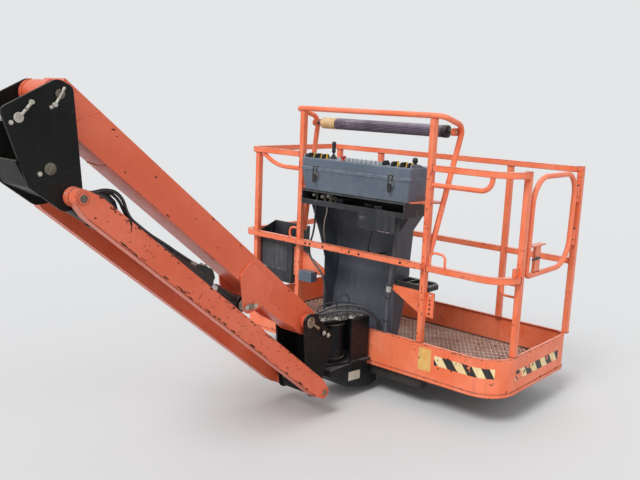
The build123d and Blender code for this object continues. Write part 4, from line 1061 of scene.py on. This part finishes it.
def tape_material():
    """Slanted black and cream bars, with the board's own enamel where the tape has torn away."""
    made = coated(
        "hazard_tape", "yellow", (0.80, 0.60, 0.26), (0.86, 0.72, 0.42), under=(0.05, 0.025, 0.015),
        scuffed=(0.7, 0.6, 0.4), blotches=14, chips=0.3, edge_wear=0.5, pale_edges=0.2, dusty=0.1,
        scratches=1.0, roughness=0.45, edge_reach=0.003)
    tree = made.node_tree
    shader = tree.nodes["Principled BSDF"]
    worn = shader.inputs["Base Color"].links[0].from_socket
    place = add_node(tree, "ShaderNodeTexCoord").outputs["Object"]
    split = add_node(tree, "ShaderNodeSeparateXYZ", {0: place}).outputs
    along = reckon(tree, "ADD", split["X"], split["Y"])
    slant = reckon(tree, "ADD", along, reckon(tree, "MULTIPLY", split["Z"], 0.75))
    turns = reckon(tree, "MULTIPLY", slant, 1 / bar_pitch)
    wave = add_node(tree, "ShaderNodeMath", {0: turns}, operation="FRACT")
    dark = ranged(tree, wave, 0.49, 0.51)
    bars = tinted(tree, dark, worn, (0.018, 0.017, 0.016, 1))
    torn_edge = reckon(
        tree, "ADD", cloud(tree, place, 13, 5), reckon(tree, "MULTIPLY", cloud(tree, place, 60, 4), 0.3))
    gone = ranged(tree, torn_edge, 0.745, 0.755)
    board = tinted(tree, cloud(tree, place, 5), (*frame_fresh, 1), (*frame_faded, 1))
    tree.links.new(tinted(tree, gone, bars, board), shader.inputs["Base Color"])
    return made


def tape_strip(shell, path, low, high):
    """Add a thin strip on the toe board along a plan path, between two levels."""
    lower, upper = ([shell.verts.new((x, y, level)) for x, y in path] for level in (low, high))
    for k in range(len(path) - 1):
        shell.faces.new((lower[k], lower[k + 1], upper[k + 1], upper[k]))


tape_lift = 0.0006
front_tape = (-1.257, -1.205)
end_tape = (-1.285, -1.232)
shell = bmesh.new()
front = [(x / 1000, outer_y - tape_lift) for x in range(532, 744, 15)]
bend = [point for point in toe_outline(tape_lift, 24)[25:50] if 0.745 < point[0] < 0.862]
tape_strip(shell, front + bend, *front_tape)
end_run = [(outer_x + tape_lift, y / 1000) for y in range(2222, 2732, 20)]
tape_strip(shell, end_run, *end_tape)
piece("hazard_strips", shell, tape_material(), "platform")
label_yellow = coated(
    "label_yellow", "yellow", (0.72, 0.40, 0.10), (0.78, 0.50, 0.16), under=(0.16, 0.07, 0.03),
    blotches=35, chips=0.25, edge_wear=0.6, dusty=0.0, scratches=0.7, roughness=0.5)
shell = bmesh.new()
plate(
    shell, (434, outer_y * 1000, -1180), 1, ((0, 0), (78, 0), (78, -122), (0, -122)), -tape_lift * 1000)
piece("blank_label", shell, label_yellow, "platform")


def foot_chips(chance, places, low, high, longest, widest, turn):
    """Chips scraped along the board's foot at given places, each of its own size."""
    return [
        (place, chance.uniform(low, high), chance.uniform(*longest), chance.uniform(*widest),
         chance.uniform(-turn, turn)) for place in places]


def rim_chips(chance, places, low, longest):
    """Chips knocked out of the board's upper rim at given places."""
    return [
        (place, chance.uniform(low, -1160), chance.uniform(*longest), chance.uniform(3, 5), 0)
        for place in places]


chance = random.Random(23)
foot_places = sorted(chance.uniform(60, 880) for k in range(22))
foot_marks = foot_chips(chance, foot_places, -1352, -1338, (8, 30), (3, 9), 8)
foot_marks += rim_chips(chance, (262, 301, 395, 470, 488, 566, 640, 655, 718), -1166, (6, 20))
foot_marks += [
    (612, -1212, 34, 18, 60), (640, -1262, 20, 8, 20), (716, -1240, 26, 16, 30), (560, -1270, 18, 5, 10)]


def on_front(x, z):
    """Place on the near face of the toe board, which the posts' near faces line up with."""
    return at(x, outer_y * 1000, z)


nearer = Vector((0, -1, 0))
bend_start = 735
front_marks = [mark for mark in foot_marks if mark[0] < bend_start]
scars("toe_scars", front_marks, on_front, nearer, "platform", 8)


def on_end(y, z):
    """Place on the toe board's gate end."""
    return at(outer_x * 1000, y, z)


end_places = sorted(chance.uniform(2215, 2770) for k in range(15))
end_marks = foot_chips(chance, end_places, -1352, -1336, (10, 36), (4, 10), 6)
end_marks += rim_chips(chance, range(2220, 2770, 70), -1168, (8, 26))
scars("end_scars", end_marks, on_end, outward, "platform", 9)

bend_run = gate_bend * math.pi / 2 * 1000


def on_bend(run, z):
    """Place on the toe board's large bend, measured round it from the near face."""
    angle = run / gate_bend / 1000 - math.pi / 2
    return Vector((
        outer_x - gate_bend + gate_bend * math.cos(angle),
        outer_y + gate_bend + gate_bend * math.sin(angle), z / 1000))


bend_marks = [(
    chance.uniform(0, bend_run), chance.uniform(-1353, -1340), chance.uniform(6, 13),
    chance.uniform(4, 9), chance.uniform(0, 90)) for k in range(16)]
bend_marks += [
    (118, -1290, 13, 9, 20), (128, -1281, 9, 6, 0), (110, -1284, 8, 5, 50), (205, -1330, 12, 10, 80),
    (60, -1163, 10, 4, 0), (150, -1162, 12, 4, 0), (215, -1164, 9, 4, 0)]
scars("bend_scars", bend_marks, on_bend, Vector((0.7, -0.7, 0)), "platform", 14)

# Deck: expanded steel mesh, slit and stretched into diamonds, its strands tilted, on a flat rim, above a thin dark
# sheet that is painted shade.
# Boots have taken the paint off it, and it has rusted and filled with pale dust.
deck_top = -1.307
rusty_mesh = coated(
    "rusty_mesh", "deck", (0.52, 0.26, 0.18), (0.72, 0.50, 0.41), under=(0.16, 0.06, 0.035),
    scuffed=(0.74, 0.60, 0.52), dust=(0.62, 0.46, 0.38), blotches=4.5, chips=0.5, edge_wear=0.5,
    pale_edges=0.9, dusty=0.35, roughness=0.62, edge_reach=0.002, gloss=0.4)


def expanded_tree():
    """Expanded mesh: rows of strands that step from side to side and meet their neighbours."""
    sizes = (
        ("Rows", 70), ("Steps", 160), ("Cell length", 0.044), ("Cell width", 0.022), ("Strand", 0.0042),
        ("Thickness", 0.0022))
    tree, node, reckoned, given = new_tree("expanded_mesh", sizes)
    pace = node("ShaderNodeCombineXYZ", {"X": reckoned("MULTIPLY", given["Cell length"], 0.25)})
    row = node("GeometryNodeMeshLine", {"Count": given["Steps"], "Offset": pace})
    number = node("GeometryNodeInputIndex")
    pair = node("ShaderNodeMath", {0: reckoned("MULTIPLY", number, 0.5)}, operation="FLOOR")
    step = reckoned("SUBTRACT", reckoned("MODULO", pair, 2.0), 0.5)
    half_cell = reckoned("MULTIPLY", given["Cell width"], 0.5)
    swing = reckoned("SUBTRACT", half_cell, reckoned("MULTIPLY", given["Strand"], 0.55))
    sway = node("ShaderNodeCombineXYZ", {"Y": reckoned("MULTIPLY", step, swing)})
    stepped = node("GeometryNodeSetPosition", {"Geometry": row, "Offset": sway})
    line = node("GeometryNodeMeshToCurve", {"Mesh": stepped})
    section = node("GeometryNodeCurvePrimitiveQuadrilateral", {
        "Width": given["Strand"], "Height": given["Thickness"]})
    tilted = node("GeometryNodeTransform", {"Geometry": section, "Rotation": (0, 0, 0.45)})
    strand = node("GeometryNodeCurveToMesh", {"Curve": line, "Profile Curve": tilted})
    apart = node("ShaderNodeCombineXYZ", {"Y": half_cell})
    rows = node("GeometryNodeMeshLine", {"Count": given["Rows"], "Offset": apart})
    half_step = reckoned("MULTIPLY", given["Cell length"], 0.5)
    odd_shift = reckoned("MULTIPLY", reckoned("MODULO", number, 2.0), half_step)
    shift = node("ShaderNodeCombineXYZ", {"X": odd_shift})
    placed = node("GeometryNodeSetPosition", {"Geometry": rows, "Offset": shift})
    laid = node("GeometryNodeInstanceOnPoints", {"Points": placed, "Instance": strand})
    return grown_out(tree, given, laid, shading=False)


cell_length = 0.030
cell_width = 0.044
mesh_thickness = 0.0030
rim_gap = 0.0046
rim_width = 0.022
shade_sheet_thickness = 0.0012
deck_low, deck_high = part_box("floor_deck")
steps = int((deck_high.x - deck_low.x) / (cell_length / 4)) + 2
rows = int((deck_high.y - deck_low.y) / (cell_width / 2))
dot = bpy.data.meshes.new("deck_mesh")
dot.from_pydata([(0, 0, 0)], [], [])
deck = grown("deck_mesh", dot, expanded_tree(), {
    "Rows": rows, "Steps": steps, "Cell length": cell_length, "Cell width": cell_width, "Strand": 0.0042,
    "Thickness": mesh_thickness}, rusty_mesh, "platform")


def held_inside(x, y):
    """Nearest place inside the toe board's corners, so that no strand runs out through a bend."""
    x = min(max(x, deck_low.x), deck_high.x)
    y = min(max(y, deck_low.y), deck_high.y)
    for sx, sy, radius in (
            (1, -1, gate_bend), (-1, -1, side_bend), (1, 1, side_bend), (-1, 1, side_bend)):
        cx = sx * (outer_x - radius)
        cy = (outer_y if sy < 0 else far_y) - sy * radius
        away = Vector((x - cx, y - cy))
        if away.x * sx > 0 and away.y * sy > 0 and away.length > radius - rim_gap:
            away = away.normalized() * (radius - rim_gap)
            x, y = cx + away.x, cy + away.y
    return x, y


mesh_start = (deck_low.x - 0.004, deck_low.y + 0.006)
for vertex in deck.data.vertices:
    vertex.co.x, vertex.co.y = held_inside(vertex.co.x + mesh_start[0], vertex.co.y + mesh_start[1])
    vertex.co.z += deck_top - mesh_thickness
deck.data.update()
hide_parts("floor_deck")
rim_and_shade_sheet = coated(
    "deck_rim_and_shade_sheet", "deck", (0.042, 0.017, 0.011), (0.075, 0.030, 0.019), under=(0.03, 0.012, 0.008),
    blotches=9, chips=0.4, dusty=0.12, roughness=0.7)
rim_outer = toe_outline(-rim_gap)
rim_inner = toe_outline(-rim_gap - rim_width)
rim_rings = ((0.006, rim_outer), (0.006, rim_inner), (0.0005, rim_outer), (0.0005, rim_inner))
shell = bmesh.new()
low_out, low_in, top_out, top_in = (
    [shell.verts.new((x, y, deck_top - drop)) for x, y in edge] for drop, edge in rim_rings)
for k in range(len(rim_outer)):
    after = (k + 1) % len(rim_outer)
    for a, b in ((low_out, top_out), (top_out, top_in), (top_in, low_in), (low_in, low_out)):
        shell.faces.new((a[k], a[after], b[after], b[k]))
# A thin dark sheet under the mesh, across the deck's whole plan, is painted shade: it stands for the shadowed
# ground seen through the openings.
prism(shell, [Vector((x, y, deck_low.z)) for x, y in rim_outer], Vector((0, 0, shade_sheet_thickness)))
piece("deck_rim_and_shade_sheet", shell, rim_and_shade_sheet, "platform")

# Railing: square steel tube, bent at the corners and welded to posts that stand on the toe board.
# Hands, boots and doorways have worn its corners; small chips show dark rust all along it.
rail_enamel = coated(
    "rail_enamel", "frame_orange", frame_fresh, frame_faded, scuffed=frame_scuffed, blotches=6,
    chips=0.14, edge_wear=1.9, pale_edges=0.85, streaks=0.08, dusty=0.15, scratches=1.0, roughness=0.38,
    edge_reach=0.010, gloss=0.45)
for node in ("posts", "top_rail", "mid_rail"):
    soften(node, rail_enamel, 0.0022)
for node in ("hand_rails", "harness_rings", "guard_tube"):
    soften(node, rail_enamel, 0.0008)
post_half = 0.016
cap_half = 0.0145
post_places = (
    (-0.826, 2.054), (-0.826, 2.833), (-0.472, 2.833), (0.472, 2.833), (0.894, 2.833), (0.894, 2.204),
    (-0.466, 2.054), (0.426, 2.054))
round_square = ((-1, -1), (1, -1), (1, 1), (-1, 1))


def collar(x, y, z):
    """Path of a weld round a square post."""
    return [
        Vector((x + a * post_half, y + b * post_half, z)) for a, b in (*round_square, round_square[0])]


rail_welds = [collar(x, y, -1.1565) for x, y in post_places]
rail_welds += [collar(x, y, -0.246) for x, y in post_places[:4]]
mid_rail_ends = ((0.4425, 2.038), (0.4425, 2.070), (0.878, 2.188), (0.910, 2.188))
rail_welds += [[Vector((x, y, z)) for z in (-0.735, -0.767)] for x, y in mid_rail_ends]
rail_welds += [[Vector((x, outer_y, z)) for z in (-0.212, -0.244)] for x in (-0.4825, 0.4425)]
welded("rail_welds", rail_welds, rail_enamel, "platform", 0.0032)
shell = bmesh.new()
for x, y in post_places[4:6]:
    cap = [Vector((x + a * cap_half, y + b * cap_half, -0.212)) for a, b in round_square]
    prism(shell, cap, Vector((0, 0, 0.003)))
piece("post_caps", shell, rail_enamel, "platform", broken=1.0)
front_run = 2.0057
rail_bolts = [Vector((x, front_run, -0.741)) for x in (-0.38, -0.345, -0.245, -0.05, 0.02, 0.30)]
rail_bolts.append(Vector((0.894, 2.1875, -0.236)))
screwed("rail_screws", [(place, nearer) for place in rail_bolts], cylinder_black, "platform", 8, 3)

chance = random.Random(31)
mid_level = -741
across_face = (-13, -11, -3, 4, 12, 13)
rail_marks = [
    (chance.uniform(-800, 420), mid_level + chance.choice(across_face), chance.uniform(5, 20),
     chance.uniform(3, 6), chance.uniform(-20, 20)) for k in range(20)]


def on_rail(x, z):
    """Place on the near face of the mid rail's front run."""
    return at(x, front_run * 1000, z)


scars("rail_scars", rail_marks, on_rail, nearer, "platform", 12)
post_marks = [
    (x, chance.uniform(-1140, -230), chance.uniform(8, 26), chance.uniform(3, 6), 90)
    for x in (-477, -456, 415, 436, 426) for k in range(7)]
scars("post_scars", post_marks, on_front, nearer, "platform", 13)

# Guard over the controls: bent round tube with a padded roller that turns under the operator's arms,
# its left end bound with cream tape, a black cap at the right, both hung in welded eyes.
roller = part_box("guard_roller")
roller_middle = (roller[0] + roller[1]) / 2
roller_half = 0.430
roller_left, roller_right = (Vector(
    (roller_middle.x + side * roller_half, *roller_middle.yz)) for side in (-1, 1))
# The roller skin's lavender coat on its upward faces, and the ribs' paler colour with their own pale coat on top,
# are painted sheen.
roller_skin = coated(
    "roller_skin", "roller", (0.040, 0.027, 0.048), (0.070, 0.050, 0.080), under=(0.40, 0.35, 0.42),
    scuffed=(0.25, 0.20, 0.26), blotches=9, chips=0.12, edge_wear=0.2, pale_edges=0.3, dusty=0.45,
    dust=(0.50, 0.44, 0.52), scratches=1.0, streaks=0.0, roughness=0.5, edge_reach=0.004)
soften("guard_roller", roller_skin, 0.002)
ribs_painted_sheen = coated(
    "ribs_painted_sheen", "roller", (0.13, 0.10, 0.155), (0.24, 0.205, 0.275), under=(0.04, 0.03, 0.05),
    dust=(0.72, 0.64, 0.62), blotches=16, chips=0.3, edge_wear=0.8, dusty=0.85, scratches=1.0,
    roughness=0.5, edge_reach=0.001)
rib_count = 22
rib_start = 0.104
rib_length = 0.728
rib_section = ((31.5, -0.034), (32.8, -0.022), (32.8, 0.022), (31.5, 0.034))
shell = bmesh.new()
for k in range(rib_count):
    way = math.tau * k / rib_count
    rib = [
        roller_left + Vector((rib_start, r * math.cos(way + a) / 1000, r * math.sin(way + a) / 1000))
        for r, a in rib_section]
    prism(shell, rib, Vector((rib_length, 0, 0)))
piece("roller_ribs", shell, ribs_painted_sheen, "platform")
cream_tape = coated(
    "cream_tape", "yellow", (0.62, 0.42, 0.20), (0.72, 0.55, 0.32), under=(0.30, 0.18, 0.10),
    blotches=25, chips=0.3, edge_wear=0.4, roughness=0.6, edge_reach=0.003)
tape_turns = 7
tape_pitch = 15
chance = random.Random(7)
wraps = [(0, -1), (33, -1), (32.0, 0)]
for k in range(tape_turns):
    start = k * tape_pitch
    wraps += [(33.2 + chance.uniform(0, 0.8), start + 1), (33.6 + chance.uniform(0, 0.8), start + 13.5)]
wraps.append((32.0, tape_turns * tape_pitch))
shell = bmesh.new()
turned(shell, roller_left, (1, 0, 0), wraps, 40)
piece("roller_tape", shell, cream_tape, "platform")
shell = bmesh.new()
turned(shell, roller_right, (1, 0, 0), (
    (32, -26), (33.6, -25), (33.8, 0), (33, 3), (20, 5), (14, 8), (9.2, 9), (9.2, 26)), 36)
turned(shell, roller_left, (-1, 0, 0), ((20, 1), (20, 4), (14, 8), (9.2, 9), (9.2, 26)), 30)
black_cap = coated(
    "black_cap", "black_plastic", (0.013, 0.013, 0.014), (0.024, 0.024, 0.025), under=(0.05, 0.05, 0.05),
    chips=0.05, dusty=0.25, roughness=0.5, edge_reach=0.003, gloss=0.35)
piece("roller_caps", shell, black_cap, "platform")
roller_nuts = [
    (Vector((end.x, *roller_middle.yz)), (way, 0, 0)) for end, way in ((roller[1], 1), (roller[0], -1))]
screwed("roller_nuts", roller_nuts, plated, "platform", 15, 4)

# Console column: pressed steel channel in slate paint, creased where it leans in to the floor.
# Rivets close its flanges, black plugs fill four holes in its web, and grime has run down it.
slate = coated(
    "slate_paint", "console_grey", (0.046, 0.053, 0.068), (0.072, 0.080, 0.098),
    under=(0.16, 0.17, 0.19), scuffed=(0.10, 0.11, 0.125), blotches=3.2, chips=0.05, edge_wear=0.9,
    pale_edges=0.5, streaks=0.18, scratches=0.7, roughness=0.45, edge_reach=0.005, gloss=0.35)
soften("console_column", slate, 0.0014)
column_web = 2208
shell = bmesh.new()
for x in (-70, -52, -18, 0):
    turned(
        shell, at(x, column_web - 9.5, -1096), nearer,
        ((0, 0), (5.5, 0), (6.5, 1), (6.5, 3), (5, 4), (0, 4.4)), 12)
piece("web_plugs", shell, black_cap, "platform")
shell = bmesh.new()
for level in (-860, -950, -1080, -1220):
    for flange, side in ((-282, -1), (223.5, 1)):
        turned(
            shell, at(flange, 2130, level), (side, 0, 0),
            ((0, -3), (5.5, -3), (5.5, 1), (3.6, 3.2), (0, 3.8)), 14)
piece("flange_rivets", shell, slate, "platform")

# Console shelf and tray: orange shelf and black tray bent from sheet, screwed between the posts.
# Loose fittings and plugs are stowed in the tray, and the foot of its hanging flap is scraped to primer.
tray_black = coated(
    "tray_black", "black_plastic", (0.014, 0.016, 0.020), (0.026, 0.029, 0.035),
    under=(0.20, 0.20, 0.20), scuffed=(0.10, 0.105, 0.11), blotches=7, chips=0.12, pale_edges=0.6,
    dusty=0.4, scratches=1.0, roughness=0.42, edge_reach=0.004, gloss=0.4)
soften("console_tray", tray_black, 0.0012)
soften("console_shelf", rail_enamel, 0.001)
shelf_low, shelf_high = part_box("console_shelf")
# A thin black sheet over the shelf's front face is painted shadow below the box.
shell = bmesh.new()
shelf_tall = (shelf_high.z - shelf_low.z) * 1000
plate(
    shell, (-376, shelf_low.y * 1000, shelf_low.z * 1000), 1,
    ((0, 0), (740, 0), (740, shelf_tall), (0, shelf_tall)), -0.8)
piece("shelf_painted_shadow", shell, tray_black, "platform")
shell = bmesh.new()
for x, z, reach, size in (
        (-330, -447, 46, 11), (-268, -452, 40, 13), (-226, -446, 34, 14), (-190, -456, 30, 10)):
    turned(shell, at(x, 2040, z), (0.25, -1, 0), (
        (0, 0), (size, 0), (size, 12), (size - 3, 13), (size - 3, 24), (size - 1, 25), (size - 1, reach),
        (size - 4, reach + 2), (0, reach + 2)), 6)
    turned(shell, at(x, 2040, z), (0, 0, -1), ((0, 0), (size - 4, 0), (size - 4, 50), (0, 50)), 12)
piece("stowed_fittings", shell, plated, "platform")
shell = bmesh.new()
for place in ((-130, 2010, -474), (60, 2030, -478), (150, 1996, -478)):
    plate(shell, place, 2, ((-26, -14), (26, -10), (24, 16), (-24, 12)), 24)
piece("stowed_plugs", shell, black_cap, "platform", broken=3)
scraped_primer = coated(
    "scraped_primer", "steel", (0.16, 0.075, 0.06), (0.30, 0.26, 0.25), under=(0.02, 0.02, 0.02),
    blotches=70, chips=0.6, roughness=0.6)
shell = bmesh.new()
plate(shell, (176, 1953.6, -580), 1, ((0, 0), (86, 1), (82, -3), (10, -3.5)), -0.4)
piece("flap_scrape", shell, scraped_primer, "platform")
shell = bmesh.new()
turned(shell, at(150, 1958, -560), (-0.62, 0.2, -0.75), (
    (0, 0), (8, 0), (9, 3), (9, 16), (7.5, 18), (7.5, 34), (5, 40), (0, 40)), 14)
piece("flap_plug", shell, black_cap, "platform")

# Control box: moulded grey-blue case in two halves, shut by two over-centre latches at the front.
# Gloves have rubbed its lip and corners pale.
case_grey = coated(
    "case_grey", "console_grey", (0.084, 0.112, 0.150), (0.110, 0.140, 0.180), under=(0.36, 0.39, 0.42),
    scuffed=(0.40, 0.44, 0.48), dust=(0.30, 0.33, 0.36), blotches=6, chips=0.05, edge_wear=1.35,
    pale_edges=0.7, streaks=0.05, dusty=0.4, scratches=1.0, roughness=0.42, grain=1.2, gloss=0.45)
soften("control_box", case_grey, 0.002)
soften("control_lid", case_grey, 0.0015)
soften("junction_box", case_grey, 0.004)
latch_steel = coated(
    "latch_steel", "steel", (0.13, 0.13, 0.13), (0.24, 0.24, 0.24), under=(0.03, 0.025, 0.02),
    scuffed=(0.6, 0.6, 0.58), blotches=60, chips=0.2, edge_wear=0.8, roughness=0.35, edge_reach=0.0015,
    gloss=0.8)
seam = -300
box_front = 1954
lid_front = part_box("control_lid")[0].y * 1000
for number, x in enumerate((-272, 249)):
    shell = bmesh.new()
    plate(shell, (x, box_front, seam), 1, ((-19, -38), (19, -38), (19, -10), (-19, -10)), -4)
    plate(shell, (x, lid_front, seam), 1, ((-16, 16), (16, 16), (16, 30), (-16, 30)), -1.2)
    for side in (-1, 1):
        plate(
            shell, (x + side * 13, box_front, seam), 0, ((0, -36), (-13, -30), (-13, -18), (0, -12)),
            side * 2)
    bar_between(
        shell, at(x - 18, box_front - 9, seam - 24), at(x + 18, box_front - 9, seam - 24), round_bar, 10)
    piece(f"latch_{number}_base", shell, latch_steel, "platform", broken=0.4)
    shell = bmesh.new()
    wire(shell, [at(x + a, box_front - b, seam + c) for a, b, c in (
        (-12, 9, -24), (-12, 11, 2), (-13, 8, 24), (13, 8, 24), (12, 11, 2), (12, 9, -24))], 2.4)
    plate(
        shell, (x, box_front - 11, seam), 1, ((-13, -20), (13, -20), (11, -62), (0, -70), (-11, -62)),
        -5)
    piece(f"latch_{number}_lever", shell, black_cap, "platform", broken=0.5)
panel = -233.7
shell = bmesh.new()
for x in (-360, -190, 20, 170, 374):
    for y in (1966, 2150):
        turned(shell, at(x, y, panel - 0.5), (0, 0, 1), (
            (0, 0), (5, 0), (5, 1), (4, 2.2), (1.6, 2.3), (1.4, 1.2), (0, 1.2)), 14)
piece("lid_screws", shell, latch_steel, "lid")

# Controls on the lid: two joysticks in rubber boots, yellow paddles between black ribs,
# small steel toggles and a red stop button.
soften("panel_guards", black_cap, 0.0015)
paddle_yellow = coated(
    "paddle_yellow", "yellow", (0.72, 0.42, 0.02), (0.80, 0.55, 0.08), under=(0.2, 0.12, 0.02),
    chips=0.2, edge_wear=0.8, edge_reach=0.002)
soften("panel_switches", paddle_yellow, 0.001)
boot = [(0, 0)]
for k in range(5):
    boot += [(20 - 2.6 * k, 4.8 * k), (21 - 2.6 * k, 4.8 * k + 1.6), (17.6 - 2.6 * k, 4.8 * k + 3.6)]
handle = [
    (5, 25), (5, 32), (9.5, 34), (11.5, 40), (10.1, 53), (11.9, 73), (11.7, 88), (9.5, 94), (3.5, 95),
    (3.2, 97), (0, 97)]
knob = [(5, 25), (5, 20), (13, 22), (15, 28), (15, 32), (13.5, 40), (10, 46), (5, 49), (0, 49)]
shell = bmesh.new()
turned(shell, at(-219, 2040, panel), (0, 0, 1), boot + handle, 28)
turned(shell, at(316, 2066, panel), (0, 0, 1), boot + knob, 28)
joystick_grips = piece("joystick_grips", shell, black_cap, "lid", turn=60)
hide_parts("joysticks")
panel_width = 372
toggle_shares = (-0.156, -0.081, -0.005, 0.07, 0.156, 0.242, 0.328, 0.403)
toggle_base = ((0, 0), (7, 0), (7, 1), (5.4, 1.4), (5.4, 5), (3.4, 6), (0, 6))
toggle_lever = ((0, 0), (1.6, 0), (2.2, 10), (2.6, 12.5), (1.8, 14.5), (0, 14.6))
chance = random.Random(2)
shell = bmesh.new()
for share in toggle_shares:
    x = panel_width * share - 10
    turned(shell, at(x, 1994, panel), (0, 0, 1), toggle_base, 6)
    turned(shell, at(x, 1994, panel + 5), (chance.choice((-0.16, 0.16)), 0.05, 1), toggle_lever, 12)
toggles = piece("toggle_levers", shell, latch_steel, "lid")
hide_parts("panel_toggles")
red_plastic = coated(
    "red_plastic", "red", (0.50, 0.030, 0.022), (0.58, 0.07, 0.05), under=(0.2, 0.02, 0.015), chips=0.05,
    edge_reach=0.002)
shell = bmesh.new()
turned(shell, at(-116, 2000, panel), (0, 0, 1), (
    (0, 0), (12, 0), (12, 3), (10, 4), (10, 13), (14.5, 14.5), (17.4, 19), (18, 22), (16.8, 24.6),
    (12, 25.8), (0, 26)), 36)
stop = piece("stop_mushroom", shell, red_plastic, "lid")
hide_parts("stop_button")

# Gussets and trays: slotted orange plates that tie the posts to the column, one with a black tool tray.
# A black box for papers hangs at the left, with a worn grey panel on its front.
soften("gussets", rail_enamel, 0.001)
soften("tool_tray", black_cap, 0.0015)
soften("manual_box", tray_black, 0.004)
papers_grey = coated(
    "papers_grey", "console_grey", (0.030, 0.034, 0.040), (0.055, 0.060, 0.067),
    under=(0.30, 0.30, 0.29), blotches=18, chips=0.25, edge_wear=1.2, dusty=0.2, scratches=1.0,
    edge_reach=0.004)
papers_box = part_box("manual_box")[0] * 1000
shell = bmesh.new()
plate(shell, (papers_box.x + 50, papers_box.y, -955), 1, ((0, 0), (210, 0), (210, 155), (0, 155)), -1.5)
piece("papers_panel", shell, papers_grey, "platform", broken=0.6)

# Side gate: round tube bent to a hoop and hung on two pin hinges, in the railing's enamel.
# A folded stop plate is welded on its low bar, and a black plastic grip works its latch.
for node in ("gate_hoop", "gate_fittings", "gate_latch"):
    soften(node, rail_enamel, 0.001)
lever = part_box("latch_lever")
lever_middle = (lever[0] + lever[1]) / 2
shell = bmesh.new()
turned(shell, Vector((lever_middle.x, lever[0].y, lever_middle.z)), (0, 1, 0), (
    (0, 0), (4, 0), (5.8, 6), (6, 30), (7.6, 44), (7.6, 58), (5.5, 80), (2.5, 94), (0, 96)), 20)
latch_grip = piece("latch_grip", shell, black_cap, "gate")
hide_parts("latch_lever")
hinge = pivots["gate_swing"]
shell = bmesh.new()
for level in (-0.3145, -0.5545):
    turned(shell, Vector((hinge.x, hinge.y, level)), (0, 0, 1), (
        (0, 0), (7.6, 0), (11, 0.5), (11, 4), (8, 5.5), (0, 5.5)), 6)
piece("hinge_nuts", shell, cylinder_black, "platform")
gate_welds = [
    [Vector((hinge.x + side * 0.0075, y, -0.7325)) for y in (2.338, 2.398)] for side in (-1, 1)]
welded("gate_welds", gate_welds, rail_enamel, "gate", 0.0028)

# Ties and tape: black nylon ties pulled round the console cable, each with its cut tail,
# and one band of pale tape that is wound over the sleeve.
tie = ((13, -3), (14.5, -3), (15.5, -2), (15.5, 2), (14.5, 3), (13, 3))
tail = ((-4, 0, -3), (4, 0, -3), (5, 7, 0), (4, 8, 4), (-4, 8, 4))
shell = bmesh.new()
for x, y, z in ((223, 2055, -740), (206, 2054.5, -890), (202, 2051.5, -960), (199, 2049, -1090)):
    turned(shell, at(x, y, z), (-0.06, 0, -1), tie, 28)
    prism(shell, [at(x + a, y - 15 - b, z + c) for a, b, c in tail], Vector((0, 0.004, 0)))
piece("cable_ties", shell, wire_sheath, "platform")
pale_tape = coated(
    "pale_tape", "steel", (0.36, 0.36, 0.35), (0.46, 0.46, 0.44), under=(0.1, 0.1, 0.1), blotches=60,
    chips=0.2, dusty=0.2, roughness=0.6)
shell = bmesh.new()
turned(shell, at(204.5, 2053.5, -908), (-0.03, -0.03, -1), (
    (13.2, -20), (14.2, -19), (14.6, -6), (14.2, 2), (14.5, 12), (14.1, 19), (13.2, 20)), 28)
piece("cable_tape", shell, pale_tape, "platform")
